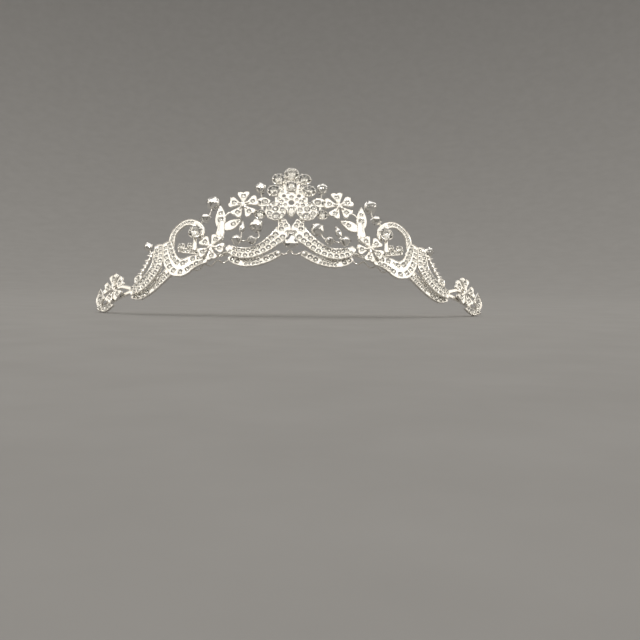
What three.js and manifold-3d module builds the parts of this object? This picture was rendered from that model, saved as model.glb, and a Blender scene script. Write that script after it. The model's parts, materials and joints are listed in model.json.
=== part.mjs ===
// Bridal tiara: a bent base band that carries jewelled ribbons, heart-petal flowers, leaves,
// a rosette of round stones, wire-mounted beads and a hanging crystal drop.
//
// Every ornament is laid out on the tiara's wall, a surface that rises from an arc and flares forward.
// Wall coordinates, in millimetres:
//   s    distance along the arc from the centre, positive towards +X
//   h    height up the wall from the base line
//   o    distance out of the wall, towards the front
// The whole tiara is then tilted back by wornTilt, as it sits on a head: front -Y, up +Z.

import * as THREE from 'three';
import { mergeVertices } from 'three/addons/utils/BufferGeometryUtils.js';
import ManifoldModule from 'manifold-3d';

const manifoldLibrary = await ManifoldModule();
manifoldLibrary.setup();
const { Manifold, Mesh: ManifoldMesh } = manifoldLibrary;

// ---------------------------------------------------------------- driving dimensions, mm and radians

const arcRadius = 103;
const wallFlare = THREE.MathUtils.degToRad(10);
const wornTilt = THREE.MathUtils.degToRad(36);

// Layers out of the wall: each pair is [back, front].
const layers = {
  band: [-1.2, -0.1],
  lower: [0.1, 1.3],
  middle: [1.5, 2.7],
  upper: [2.9, 3.9],
  ends: [0.8, 1.8],
};

const wireRadius = 0.32;
const wireOut = 0.7;
const sprigPinOut = 2.1;
const beadBore = 0.44;
const stoneGap = 0.1;

// The base band runs hidden behind the ribbons, from the peak of the centre down to the two ends.
const band = {
  height: 1.5,
  path: [
    [0, 10.9], [2.2, 10.3], [4.5, 8.8], [7, 7.2], [10, 5.6], [13.5, 4.6], [17.5, 4.4], [21, 4.9],
    [25, 5.2], [29, 4.6], [33, 3.4], [37.5, 2.5], [42, 1.7], [46, 1.2], [50, 0.6], [54, 0.9],
    [58, 1], [62, 0.3], [66, 0.2], [70, 0.4], [76, 0.8],
  ],
  samples: 40,
  endLength: 9,
  eyeRadius: 1.75,
  eyeBore: 0.8,
};

const pinWave = {
  path: [[23, 3.6], [26, 1.9], [28.6, 3.4], [31.2, 1.4], [33.8, 2.6], [36.6, 0.7], [39.4, 2.4]],
  out: -1.66,
  radius: 0.34,
};

const strandBridge = {
  path: [[-3.3, 2.8], [-2.1, 2.5], [-1, 3.5], [-0.2, 4.2], [0.6, 3], [1.7, 2.4], [3.3, 3.1]],
  out: 0.5,
  radius: 0.48,
};

const centreRibbon = {
  path: [
    [3.3, 15.8], [2.8, 13.8], [2.5, 11.6], [4.5, 9.3], [6.6, 7.4], [9, 5.4], [12, 3.7], [15, 2.9], [18, 3.1],
    [21, 4.2], [23.2, 6],
  ],
  widths: [3.2, 4.2, 6, 5.8, 5.2, 5, 4.8, 4.7, 4.6, 4, 2.6],
};

const centreStrand = {
  path: [[4.6, 2.8], [7.5, 1.2], [10.4, 0.1], [14, -0.6], [17.5, -0.4], [20.7, 0.8], [22.8, 2.4]],
  widths: [2.8, 3.1, 3.3, 3.3, 3.3, 3.1, 2.4],
};

const sideRibbon = {
  path: [[47.6, 13.4], [47.1, 9.4], [46, 5.2], [43.8, 2.1], [41, 1.2], [38, 2.2], [34.6, 2.7], [31.6, 2.4]],
  widths: [3.6, 5.2, 6.4, 7.4, 7.6, 6.4, 5, 3.4],
};

const outerRibbon = {
  path: [[51.3, 13.4], [51.6, 9.4], [52.3, 5.7], [54.4, 2.7], [57.2, 0.5], [60.6, -1], [64.8, -1.6]],
  widths: [3.6, 4.8, 5.2, 5.2, 5.2, 5, 3.8],
};

const outerStrand = {
  path: [[48.2, 1.6], [51.2, -0.4], [54.6, -2.7], [58.2, -4.1], [61.9, -4.4], [65.6, -2.9]],
  widths: [4.4, 4.2, 3.4, 3, 3, 2.4],
};

const shelfStrand = {
  path: [[43.2, 9.6], [40.4, 8.9], [37, 7.8], [33.6, 6.4]],
  widths: [1.8, 2.6, 2.8, 2.4],
  cup: { at: [42.2, 10.9], radius: 1.5 },
};

// The ribbons of one pair meet at a joint line and are cut back from it by half of this gap.
const jointGap = 0.24;
const sideJoint = 49.4;

const scrollArch = {
  path: [
    [46.4, 11.6], [46.4, 14], [45.8, 16.8], [44, 19.3], [41.2, 20.9], [38.8, 21], [36.4, 19.8], [34.6, 17.6],
    [33.9, 15], [34.2, 12.4],
  ],
  widths: [2.2, 2.5, 2.6, 2.7, 2.7, 2.7, 2.8, 3.2, 2.8, 1.4],
};

// The stone inside the arch stands in a cup on a thick stem that rises from the shelf strand.
const archStone = {
  at: [35.6, 14.9],
  radius: 2.4,
  stem: [[36.3, 13.8], [36.4, 10.8], [36.6, 8.2]],
  stemWidths: [1.6, 1.5, 2.6],
};

const rosette = {
  centre: [0, 30.8],
  centreRadius: 1.9,
  stones: [
    { name: 'top', at: [0, 36.3], radius: 2.35 },
    { name: 'upper', at: [4.6, 33.9], radius: 2.15 },
    { name: 'lower', at: [6.3, 28.8], radius: 2.15 },
  ],
  cupMargin: 0.3,
  armWidth: 1.5,
};

// The openwork plate between the rosette and the two discs, with its three round piercings.
const spinePlate = {
  outline: [
    [0, 17.3], [1.3, 18.6], [2.2, 21], [5.4, 22.4], [6, 25.4], [5.4, 28.6], [3.9, 32], [2, 34], [0, 34.6],
  ],
  piercings: [[0, 23.8, 1.1], [2.7, 26.8, 0.75]],
};

const clusterDisc = { at: [5.6, 19.4], radius: 4.1 };
const keystone = { at: [0, 19.4], halfWidth: 1.3, halfHeight: 2.2, depth: 1.2 };

const flowerPetal = {
  count: 5,
  hub: 1.3,
  hubRise: 0.4,
  halfOutline: [[0.24, 0.14], [0.5, 0.24], [0.74, 0.4], [0.92, 0.38], [1, 0.2], [0.92, 0]],
};
const flowers = [
  { name: 'upper_flower', at: [17.4, 23.9], layer: 'middle', firstPetal: 103, petal: 5.8 },
  { name: 'base_flower', at: [29.3, 6.6], layer: 'upper', firstPetal: 50, petal: 5.4 },
  { name: 'end_flower', at: [76.5, 5], layer: 'lower', firstPetal: 95, petal: 6 },
];
const endFlowerNeck = {
  path: [[64.8, -0.4], [67.8, 1.5], [71, 3.4], [73.2, 4.2]],
  widths: [1.8, 1.5, 1.4, 2],
};

const leafLink = {
  leafAt: [10.8, 25.1],
  leafLength: 6.8,
  leafWidth: 4.4,
  turn: -8,
  cupAt: [11.4, 19.7],
  cup: 2.15,
  barWidth: 1.2,
};

const leafSpray = {
  leafBase: [26.5, 14.4],
  leafTip: [26.2, 25.6],
  leafWidth: 4.2,
  stem: [[26.8, 11.3], [26.4, 14], [26, 17.4]],
  stemWidths: [3.8, 3.8, 3.8],
  cup: 1.9,
  branchBase: [25.8, 14.8],
  branchTip: [18, 18.2],
  branchWidth: 4.4,
};

const endLeaves = [
  { base: [85.4, 0.2], tip: [84.2, 8.2], width: 5.2 },
  { base: [85, -1.2], tip: [75.8, -3], width: 3.4 },
];
const endCup = { at: [85, -0.4], radius: 1.2 };

const thornTwig = {
  path: [
    [55.4, 12.4], [56.5, 10.5], [58, 8.5], [59.8, 6.4], [61.4, 4.8], [61.3, 3.2], [60.6, 1.6],
  ],
  radius: 0.6,
  thorns: [
    [56, 11.4, 58, 12.4], [57.2, 9.6, 59.2, 10.6], [58.4, 8, 60.4, 8.9], [59.6, 6.6, 61.7, 7.4],
    [60.8, 5.4, 63, 6],
  ],
  thornWidth: 1,
  thornLayer: [0.4, 1],
  leafBase: [61.6, 5],
  leafTip: [64.4, 2.2],
  leafWidth: 3.2,
  leafLayer: [0.2, 1.2],
  beadLink: [[55.4, 12.4], [55.8, 12.1], [56.3, 12.5]],
};

// A bead turns on its own wire pin. The pin runs from foot to tip through the bead's bore.
const beads = [
  { name: 'top_bead', at: [11.3, 31.4], radius: 2.3, height: 4, foot: [10.8, 25.4], out: wireOut },
  { name: 'sprig_bead', at: [9.6, 12.5], radius: 2.8, height: 4.6, foot: [11.6, 9.8], out: sprigPinOut },
  { name: 'oval_bead', at: [17.4, 12.2], radius: 1.25, height: 3.8, foot: [18.3, 9.9], out: sprigPinOut },
  { name: 'rondelle_bead', at: [29.8, 26.4], radius: 2.85, height: 4.6, foot: [30.6, 22.6], out: wireOut },
  { name: 'twig_bead', at: [56.1, 14.6], radius: 1.85, height: 3.2, foot: [56.2, 12.2], out: wireOut },
];

// Wires are bent and flowers are turned by hand, so these pieces sit differently on the left half.
const leftHalf = {
  upper_flower: { firstPetal: 91 },
  sprig_bead: { at: [12.7, 14.3] },
  oval_bead: { at: [17.9, 13.8] },
  rondelle_bead: { at: [29.2, 27.1] },
  twig_bead: { at: [57.2, 15.8] },
};

function onHalf(piece, label) {
  return label === 'left' ? { ...piece, ...leftHalf[piece.name] } : piece;
}

// The sprig wire joins the two sprig pins to large bicone end beads that are crimped onto it.
const sprigWire = {
  stems: [
    { bead: 'sprig_bead', path: [[13.9, 7.2], [12.4, 8.3], [11.6, 9.8]] },
    { bead: 'oval_bead', path: [[19.5, 7.8], [18.7, 8.7], [18.3, 9.9]] },
  ],
  stemRadius: 0.36,
  rail: [[13.9, 7.2], [16.8, 6.9], [19.5, 7.8]],
  railRadius: 0.4,
  ends: [[13.9, 7.2, 2], [19.5, 7.8, 2.25]],
  out: 4.2,
};
const rondelleWire = {
  path: [[35.2, 19.2], [32.8, 20.4], [30.6, 22.6]],
  radius: 0.36,
  bicone: [32.3, 21.2, 2.25],
};

const drop = {
  pivot: [0, 9.4],
  pivotOut: 6.6,
  pinHalf: 1.3,
  pinRadius: 0.28,
  ringBore: 0.42,
  ringRadius: 0.85,
  ringThickness: 0.5,
  capTop: 0.7,
  crystalTop: 1.35,
  crystalHeight: 5.2,
  crystalRadius: 3.3,
};

// ---------------------------------------------------------------- materials

function metal(colour, roughness) {
  return new THREE.MeshStandardMaterial({ color: colour, roughness, metalness: 1 });
}

const rhodium = metal(0xd9d6d0, 0.18);
const rhodiumWire = metal(0xcfccc6, 0.24);
const crystal = new THREE.MeshStandardMaterial({ color: 0xeef2f6, roughness: 0.04, metalness: 0 });

// ---------------------------------------------------------------- the wall and its local frames

function wallAxes(s) {
  const angle = s / arcRadius;
  const along = new THREE.Vector3(Math.cos(angle), Math.sin(angle), 0);
  const outwards = new THREE.Vector3(Math.sin(angle), -Math.cos(angle), 0);
  const up = outwards.clone().multiplyScalar(Math.sin(wallFlare));
  up.z = Math.cos(wallFlare);
  const out = outwards.clone().multiplyScalar(Math.cos(wallFlare));
  out.z = -Math.sin(wallFlare);
  return { along, up, out };
}

function onWall(s, h, o) {
  const angle = s / arcRadius;
  const { up, out } = wallAxes(s);
  const point = new THREE.Vector3(arcRadius * Math.sin(angle), arcRadius * (1 - Math.cos(angle)), 0);
  return point.addScaledVector(up, h).addScaledVector(out, o);
}

// A flat frame on the wall: its X runs along the arc, its Y up the wall and its Z out of the wall.
function wallMatrix(s, h, o) {
  const { along, up, out } = wallAxes(s);
  return new THREE.Matrix4().makeBasis(along, up, out).setPosition(onWall(s, h, o));
}

function placeOnWall(object, s, h, o) {
  wallMatrix(s, h, o).decompose(object.position, object.quaternion, object.scale);
  return object;
}

function bendOntoWall(geometry) {
  const position = geometry.getAttribute('position');
  for (let i = 0; i < position.count; i += 1) {
    const bent = onWall(position.getX(i), position.getY(i), position.getZ(i));
    position.setXYZ(i, bent.x, bent.y, bent.z);
  }
  return geometry;
}

// ---------------------------------------------------------------- solids

function positionsOnly(geometry) {
  const plain = new THREE.BufferGeometry();
  plain.setAttribute('position', geometry.getAttribute('position').clone());
  if (geometry.index) {
    plain.setIndex(geometry.index.clone());
  }
  return mergeVertices(plain, 1e-4);
}

function toManifold(geometry) {
  const merged = positionsOnly(geometry);
  return new Manifold(new ManifoldMesh({
    numProp: 3,
    vertProperties: new Float32Array(merged.getAttribute('position').array),
    triVerts: new Uint32Array(merged.index.array),
  }));
}

function fromManifold(solid) {
  const mesh = solid.getMesh();
  const geometry = new THREE.BufferGeometry();
  geometry.setAttribute('position', new THREE.BufferAttribute(new Float32Array(mesh.vertProperties), 3));
  geometry.setIndex(new THREE.BufferAttribute(new Uint32Array(mesh.triVerts), 1));
  return geometry;
}

function joined(...geometries) {
  const solids = geometries.map(toManifold);
  return fromManifold(solids.reduce((sum, next) => Manifold.union(sum, next)));
}

function smoothPath(points, samples) {
  const curve = new THREE.CatmullRomCurve3(points.map(([s, h]) => new THREE.Vector3(s, h, 0)));
  return Array.from({ length: samples + 1 }, (_, i) => curve.getPoint(i / samples));
}

function smoothValue(values, t) {
  const place = t * (values.length - 1);
  const low = Math.min(Math.floor(place), values.length - 2);
  return THREE.MathUtils.lerp(values[low], values[low + 1], place - low);
}

function signedVolume(points, faces) {
  let volume = 0;
  for (let i = 0; i < faces.length; i += 3) {
    const [a, b, c] = [points[faces[i]], points[faces[i + 1]], points[faces[i + 2]]];
    volume += a.dot(b.clone().cross(c)) / 6;
  }
  return volume;
}

// Closes a list of rings of equal length into a solid skin with flat ends.
function skin(rings) {
  const size = rings[0].length;
  const points = rings.flat();
  const faces = [];
  for (let ring = 0; ring < rings.length - 1; ring += 1) {
    for (let i = 0; i < size; i += 1) {
      const a = ring * size + i;
      const b = ring * size + (i + 1) % size;
      faces.push(a, b, b + size, a, b + size, a + size);
    }
  }
  const last = (rings.length - 1) * size;
  for (let i = 1; i < size - 1; i += 1) {
    faces.push(0, i + 1, i, last, last + i, last + i + 1);
  }
  if (signedVolume(points, faces) < 0) {
    faces.reverse();
  }
  const geometry = new THREE.BufferGeometry();
  const flat = points.flatMap((point) => [point.x, point.y, point.z]);
  geometry.setAttribute('position', new THREE.BufferAttribute(new Float32Array(flat), 3));
  geometry.setIndex(faces);
  return geometry;
}

// A ribbon follows a path in wall coordinates, with a width at each path point. Its front is crowned.
function ribbonGeometry({ path, widths }, [back, front], samples, limits = {}) {
  const { least = -Infinity, most = Infinity } = limits;
  const points = smoothPath(path, samples);
  const crown = 0.25;
  const rings = points.map((point, i) => {
    const before = points[Math.max(i - 1, 0)];
    const after = points[Math.min(i + 1, samples)];
    const direction = after.clone().sub(before).normalize();
    const side = new THREE.Vector3(-direction.y, direction.x, 0);
    const half = smoothValue(widths, i / samples) / 2;
    const corner = (share, out) => {
      const place = point.clone().addScaledVector(side, share * half);
      return new THREE.Vector3(THREE.MathUtils.clamp(place.x, least, most), place.y, out);
    };
    const shoulder = front - crown;
    return [corner(-1, back), corner(-1, shoulder), corner(0, front), corner(1, shoulder), corner(1, back)];
  });
  return bendOntoWall(skin(rings));
}

// A round wire through points in space.
function tubeThrough(points, radius, samples, sides = 6) {
  const corners = Array.from({ length: sides }, (_, i) => {
    const angle = 2 * Math.PI * (i + 0.5) / sides;
    return new THREE.Vector2(radius * Math.cos(angle), radius * Math.sin(angle));
  });
  const extrudePath = new THREE.CatmullRomCurve3(points);
  const settings = { steps: samples, extrudePath, curveSegments: 1 };
  return new THREE.ExtrudeGeometry(new THREE.Shape(corners), settings);
}

// A round wire on the wall. All of its middle line lies at one distance out of the wall.
function wireGeometry(path, out, radius, samples) {
  const points = smoothPath(path, samples).map((point) => onWall(point.x, point.y, out));
  return tubeThrough(points, radius, samples);
}

function plateGeometry(shape, [back, front], curveSegments = 3) {
  const settings = { depth: front - back, bevelEnabled: false, curveSegments };
  const geometry = new THREE.ExtrudeGeometry(shape, settings);
  geometry.translate(0, 0, back);
  return geometry;
}

function discGeometry(radius, depth, sides) {
  const geometry = new THREE.CylinderGeometry(radius, radius, depth, sides);
  geometry.rotateX(Math.PI / 2);
  return geometry;
}

// A stone cut like a round brilliant: flat base on its setting, girdle, crown and table. Z points out.
function stoneGeometry(radius, sides = 8) {
  const profile = [[0, 0], [0.72, 0], [1, 0.35], [1, 0.5], [0.58, 0.95], [0, 0.95]];
  const points = profile.map(([x, y]) => new THREE.Vector2(x * radius, y * radius * 0.8));
  const geometry = new THREE.LatheGeometry(points, sides);
  geometry.rotateX(Math.PI / 2);
  return geometry;
}

// A faceted bead with a bore along Y.
function beadGeometry(radius, height, sides = 10) {
  const half = height / 2;
  const profile = [
    [beadBore, -half], [radius * 0.5, -half], [radius, -half * 0.28], [radius, half * 0.28],
    [radius * 0.5, half], [beadBore, half], [beadBore, -half],
  ];
  const points = profile.map(([x, y]) => new THREE.Vector2(x, y));
  return new THREE.LatheGeometry(points, sides);
}

function biconeGeometry(radius, sides = 8) {
  const profile = [[0, -0.85], [0.4, -0.85], [1, 0], [0.4, 0.85], [0, 0.85]];
  return new THREE.LatheGeometry(profile.map(([x, y]) => new THREE.Vector2(x * radius, y * radius)), sides);
}

// ---------------------------------------------------------------- outlines

// A leaf outline runs from its base to its tip in wall coordinates.
function leafOutline(base, tip, width) {
  const start = new THREE.Vector2(...base);
  const end = new THREE.Vector2(...tip);
  const spine = end.clone().sub(start);
  const side = new THREE.Vector2(-spine.y, spine.x).normalize().multiplyScalar(width / 2);
  const steps = 5;
  const outline = [];
  for (let i = 0; i <= steps; i += 1) {
    const t = i / steps;
    const swell = Math.sin(Math.PI * t ** 0.85) * 0.97 + 0.03;
    outline.push(start.clone().addScaledVector(spine, t).addScaledVector(side, swell));
  }
  for (let i = steps; i >= 0; i -= 1) {
    const t = i / steps;
    const swell = Math.sin(Math.PI * t ** 0.85) * 0.97 + 0.03;
    outline.push(start.clone().addScaledVector(spine, t).addScaledVector(side, -swell));
  }
  return new THREE.Shape(outline);
}

// Five heart-shaped petals round a hub, as one outline centred on the flower.
function flowerOutline(length, firstPetalDegrees) {
  const halfPetal = flowerPetal.halfOutline;
  const outline = [];
  for (let petal = 0; petal < flowerPetal.count; petal += 1) {
    const angle = THREE.MathUtils.degToRad(firstPetalDegrees + 360 * petal / flowerPetal.count);
    const rightHalf = halfPetal.map(([x, y]) => [x, -y]);
    const leftHalf = halfPetal.slice(0, -1).reverse();
    for (const [x, y] of [...rightHalf, ...leftHalf]) {
      outline.push(new THREE.Vector2(x * length, y * length).rotateAround(new THREE.Vector2(), angle));
    }
  }
  return new THREE.Shape(outline);
}

function roundOutline(s, h, radius, sides = 12) {
  const outline = [];
  for (let i = 0; i < sides; i += 1) {
    const angle = 2 * Math.PI * i / sides;
    outline.push(new THREE.Vector2(s + radius * Math.cos(angle), h + radius * Math.sin(angle)));
  }
  return outline;
}

// ---------------------------------------------------------------- scene graph

const tiara = new THREE.Group();
tiara.name = 'tiara';

const worn = new THREE.Group();
worn.name = 'worn_tilt';
worn.rotation.x = -wornTilt;
tiara.add(worn);

function addMesh(parent, name, geometry, material) {
  const mesh = new THREE.Mesh(geometry, material);
  mesh.name = name;
  geometry.computeVertexNormals();
  parent.add(mesh);
  return mesh;
}

// ---------------------------------------------------------------- centre pieces

function bandGeometry() {
  const [back, front] = layers.band;
  const half = band.height / 2;
  const rightPath = smoothPath(band.path, band.samples);
  const leftPath = rightPath.slice(1).reverse().map((point) => new THREE.Vector3(-point.x, point.y, 0));
  const centreLine = [...leftPath, ...rightPath];
  const rings = centreLine.map((point) => [
    onWall(point.x, point.y - half, back),
    onWall(point.x, point.y - half, front),
    onWall(point.x, point.y + half, front),
    onWall(point.x, point.y + half, back),
  ]);
  return skin(rings);
}

// The band's two ends are straight, flat tongues that finish in a pierced eye for a hair pin.
function bandEnd(side) {
  const [back, front] = layers.band;
  const half = band.height / 2;
  const [s, h] = band.path.at(-1);
  const tongue = new THREE.Shape([
    new THREE.Vector2(-0.3, -half),
    new THREE.Vector2(band.endLength, -half),
    new THREE.Vector2(band.endLength, half),
    new THREE.Vector2(-0.3, half),
  ]);
  const eye = new THREE.Shape(roundOutline(band.endLength + 1, 0, band.eyeRadius));
  const bore = new THREE.Shape(roundOutline(band.endLength + 1, 0, band.eyeBore, 10));
  const solid = Manifold.difference(
    Manifold.union(
      toManifold(plateGeometry(tongue, [back, front])),
      toManifold(plateGeometry(eye, [back, front])),
    ),
    toManifold(plateGeometry(bore, [back - 1, front + 1])),
  );
  const end = fromManifold(solid);
  end.applyMatrix4(wallMatrix(s, h, 0));
  if (side < 0) {
    end.applyMatrix4(new THREE.Matrix4().makeScale(-1, 1, 1));
    end.index.array.reverse();
  }
  return end;
}

addMesh(worn, 'base_band', joined(bandGeometry(), bandEnd(1), bandEnd(-1)), rhodium);

const bridgeWire = wireGeometry(strandBridge.path, strandBridge.out, strandBridge.radius, 14);
addMesh(worn, 'strand_bridge_wire', bridgeWire, rhodiumWire);

function cupAt(at, radius, [back, front], sides = 12) {
  const cup = discGeometry(radius, front - back, sides);
  return cup.applyMatrix4(wallMatrix(...at, (back + front) / 2));
}

function mirrored([s, h]) {
  return [-s, h];
}

function barGeometry(from, to, width, layer) {
  return ribbonGeometry({ path: [from, to], widths: [width, width] }, layer, 2);
}

function rosetteFrame() {
  const rightOutline = spinePlate.outline.map(([s, h]) => new THREE.Vector2(s, h));
  const leftOutline = spinePlate.outline.slice(1, -1).reverse().map(([s, h]) => new THREE.Vector2(-s, h));
  const plate = new THREE.Shape([...rightOutline, ...leftOutline]);
  for (const [s, h, radius] of spinePlate.piercings) {
    plate.holes.push(new THREE.Path(roundOutline(s, h, radius, 10)));
    if (s > 0) {
      plate.holes.push(new THREE.Path(roundOutline(-s, h, radius, 10)));
    }
  }
  const pieces = [bendOntoWall(plateGeometry(plate, layers.middle))];
  pieces.push(cupAt(rosette.centre, rosette.centreRadius + rosette.cupMargin, layers.middle, 10));
  for (const { at, radius } of rosette.stones) {
    const places = at[0] > 0 ? [at, mirrored(at)] : [at];
    for (const place of places) {
      pieces.push(cupAt(place, radius + rosette.cupMargin, layers.middle, 10));
      pieces.push(barGeometry(rosette.centre, place, rosette.armWidth, layers.middle));
    }
  }
  return joined(...pieces);
}

addMesh(worn, 'rosette_frame', rosetteFrame(), rhodium);

const stoneSeat = layers.middle[1] + stoneGap;

function addStone(parent, name, at, radius) {
  return placeOnWall(addMesh(parent, name, stoneGeometry(radius), crystal), ...at, stoneSeat);
}

addStone(worn, 'rosette_stone_centre', rosette.centre, rosette.centreRadius);
addStone(worn, 'rosette_stone_top', rosette.stones[0].at, rosette.stones[0].radius);

function keystoneGeometry() {
  const { halfWidth, halfHeight, depth } = keystone;
  const tableShare = 0.55;
  const outline = [0, 1, 2, 3, 4, 5, 6, 7].map((i) => {
    const angle = Math.PI * i / 4;
    return new THREE.Vector2(halfWidth * Math.cos(angle), halfHeight * Math.sin(angle));
  });
  const ring = (share, z) => outline.map((point) => new THREE.Vector3(point.x * share, point.y * share, z));
  return skin([ring(0.75, 0), ring(1, depth * 0.4), ring(1, depth * 0.5), ring(tableShare, depth)]);
}

placeOnWall(addMesh(worn, 'keystone', keystoneGeometry(), crystal), ...keystone.at, stoneSeat);

// ---------------------------------------------------------------- hanging drop

// The drop hangs straight down from its pin, so its group undoes the worn tilt.
const dropGroup = new THREE.Group();
dropGroup.name = 'drop_group';
dropGroup.position.copy(onWall(drop.pivot[0], drop.pivot[1], drop.pivotOut));
dropGroup.rotation.x = wornTilt;
worn.add(dropGroup);

function dropHook() {
  const { pivot, pivotOut, pinHalf, pinRadius } = drop;
  const foot = layers.middle[1] + 0.1;
  const along = new THREE.CylinderGeometry(pinRadius, pinRadius, 2 * pinHalf + 2 * pinRadius, 8);
  along.rotateZ(Math.PI / 2);
  const pieces = [along];
  for (const side of [-1, 1]) {
    const length = pivotOut - foot;
    const leg = new THREE.CylinderGeometry(pinRadius, pinRadius, length, 8);
    leg.rotateX(Math.PI / 2);
    leg.translate(side * pinHalf, 0, -length / 2);
    pieces.push(leg);
  }
  const hook = joined(...pieces);
  return hook.applyMatrix4(wallMatrix(...pivot, pivotOut));
}

addMesh(worn, 'drop_hook', dropHook(), rhodiumWire);

function dropBail() {
  const { ringBore, ringRadius, ringThickness, capTop, crystalTop } = drop;
  const half = ringThickness / 2;
  const section = [
    [ringBore, -half], [ringRadius, -half], [ringRadius, half], [ringBore, half], [ringBore, -half],
  ];
  const ring = new THREE.LatheGeometry(section.map(([x, y]) => new THREE.Vector2(x, y)), 12);
  ring.rotateZ(Math.PI / 2);
  const capProfile = [[0, -crystalTop + 0.05], [0.95, -crystalTop + 0.05], [0.6, -capTop], [0, -capTop]];
  const cap = new THREE.LatheGeometry(capProfile.map(([x, y]) => new THREE.Vector2(x, y)), 10);
  return joined(ring, cap).rotateX(Math.PI / 2);
}

function dropCrystal() {
  const { crystalTop, crystalHeight, crystalRadius } = drop;
  const profile = [[0, 1], [0.36, 1], [0.75, 0.86], [1, 0.7], [0.88, 0.42], [0.5, 0.14], [0, 0]];
  const points = profile.map(([x, share]) => (
    new THREE.Vector2(x * crystalRadius, -crystalTop - crystalHeight * share)
  ));
  return new THREE.LatheGeometry(points, 10).rotateX(Math.PI / 2);
}

addMesh(dropGroup, 'drop_bail', dropBail(), rhodiumWire);
addMesh(dropGroup, 'crystal_drop', dropCrystal(), crystal);

// ---------------------------------------------------------------- pieces that come in pairs

// Pin and bead share one axis, from the pin's foot through the bead's centre.
function beadAxis(bead) {
  const foot = onWall(...bead.foot, bead.out);
  const centre = onWall(...bead.at, bead.out);
  return { foot, centre, direction: centre.clone().sub(foot).normalize() };
}

function pinGeometry(bead) {
  const { foot, centre, direction } = beadAxis(bead);
  const headStart = bead.height / 2 + 0.12;
  const shaftLength = foot.distanceTo(centre) + headStart + 0.2;
  const shaft = new THREE.CylinderGeometry(wireRadius, wireRadius, shaftLength, 8);
  shaft.translate(0, shaftLength / 2, 0);
  const head = new THREE.CylinderGeometry(0.4, 0.6, 0.5, 8);
  head.translate(0, foot.distanceTo(centre) + headStart + 0.25, 0);
  const pin = joined(shaft, head);
  const turn = new THREE.Quaternion().setFromUnitVectors(new THREE.Vector3(0, 1, 0), direction);
  return pin.applyQuaternion(turn).translate(foot.x, foot.y, foot.z);
}

function ballAt(s, h, out, radius, sides = 8) {
  const place = onWall(s, h, out);
  return biconeGeometry(radius, sides).translate(place.x, place.y, place.z);
}

function leafSprayGeometry() {
  const layer = layers.lower;
  const stem = { path: leafSpray.stem, widths: leafSpray.stemWidths };
  const leaf = leafOutline(leafSpray.leafBase, leafSpray.leafTip, leafSpray.leafWidth);
  const branch = leafOutline(leafSpray.branchBase, leafSpray.branchTip, leafSpray.branchWidth);
  return joined(
    ribbonGeometry(stem, layer, 4),
    bendOntoWall(plateGeometry(leaf, layer)),
    bendOntoWall(plateGeometry(branch, layer)),
    cupAt(leafSpray.stem[0], leafSpray.cup, layer, 10),
  );
}

function leafLinkGeometry(pins) {
  const { leafAt, leafLength, leafWidth, turn, cupAt: cupPlace, cup, barWidth } = leafLink;
  const angle = THREE.MathUtils.degToRad(turn);
  const half = new THREE.Vector2(leafLength / 2, 0).rotateAround(new THREE.Vector2(), angle);
  const base = [leafAt[0] - half.x, leafAt[1] - half.y];
  const tip = [leafAt[0] + half.x, leafAt[1] + half.y];
  const layer = layers.lower;
  return joined(
    bendOntoWall(plateGeometry(leafOutline(base, tip, leafWidth), layer)),
    cupAt(cupPlace, cup, layer, 10),
    barGeometry(leafAt, cupPlace, barWidth, layer),
    pins.top_bead,
  );
}

function thornTwigGeometry(pins) {
  const { leafBase, leafTip, leafWidth, leafLayer, thornWidth, thornLayer } = thornTwig;
  const pieces = [
    wireGeometry(thornTwig.path, wireOut, thornTwig.radius, 12),
    bendOntoWall(plateGeometry(leafOutline(leafBase, leafTip, leafWidth), leafLayer)),
    wireGeometry(thornTwig.beadLink, wireOut, wireRadius, 3),
    pins.twig_bead,
  ];
  for (const [s, h, tipS, tipH] of thornTwig.thorns) {
    const thorn = leafOutline([s, h], [tipS, tipH], thornWidth);
    pieces.push(bendOntoWall(plateGeometry(thorn, thornLayer)));
  }
  return joined(...pieces);
}

// Each stem of the sprig climbs back from the rail's level to the level of its bead's pin.
function sprigWireGeometry(pins) {
  const { stems, stemRadius, rail, railRadius, ends, out } = sprigWire;
  const stemOuts = [out, (out + sprigPinOut) / 2, sprigPinOut];
  const pieces = [tubeThrough(rail.map(([s, h]) => onWall(s, h, out)), railRadius, 6)];
  for (const { bead, path } of stems) {
    pieces.push(tubeThrough(path.map(([s, h], i) => onWall(s, h, stemOuts[i])), stemRadius, 5));
    pieces.push(pins[bead]);
  }
  for (const [s, h, radius] of ends) {
    pieces.push(ballAt(s, h, out, radius));
  }
  return joined(...pieces);
}

function scrollArchGeometry(pins) {
  const [s, h, radius] = rondelleWire.bicone;
  return joined(
    ribbonGeometry(scrollArch, layers.lower, 20),
    wireGeometry(rondelleWire.path, wireOut, rondelleWire.radius, 5),
    ballAt(s, h, wireOut, radius),
    pins.rondelle_bead,
  );
}

function shelfStrandGeometry() {
  const stem = { path: archStone.stem, widths: archStone.stemWidths };
  return joined(
    ribbonGeometry(shelfStrand, layers.lower, 8),
    cupAt(shelfStrand.cup.at, shelfStrand.cup.radius, layers.lower, 10),
    ribbonGeometry(stem, [layers.lower[0], layers.middle[1]], 4),
    cupAt(archStone.at, archStone.radius + rosette.cupMargin, layers.middle, 10),
  );
}

function endLeafPairGeometry() {
  const leaves = endLeaves.map(({ base, tip, width }) => (
    bendOntoWall(plateGeometry(leafOutline(base, tip, width), layers.ends))
  ));
  return joined(...leaves, cupAt(endCup.at, endCup.radius, layers.ends, 8));
}

function flowerGeometry(flower) {
  const layer = layers[flower.layer];
  const plate = plateGeometry(flowerOutline(flower.petal, flower.firstPetal), layer);
  const hub = discGeometry(flowerPetal.hub, layer[1] - layer[0] + flowerPetal.hubRise, 8);
  hub.translate(0, 0, (layer[0] + layer[1] + flowerPetal.hubRise) / 2);
  return joined(plate, hub);
}

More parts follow.
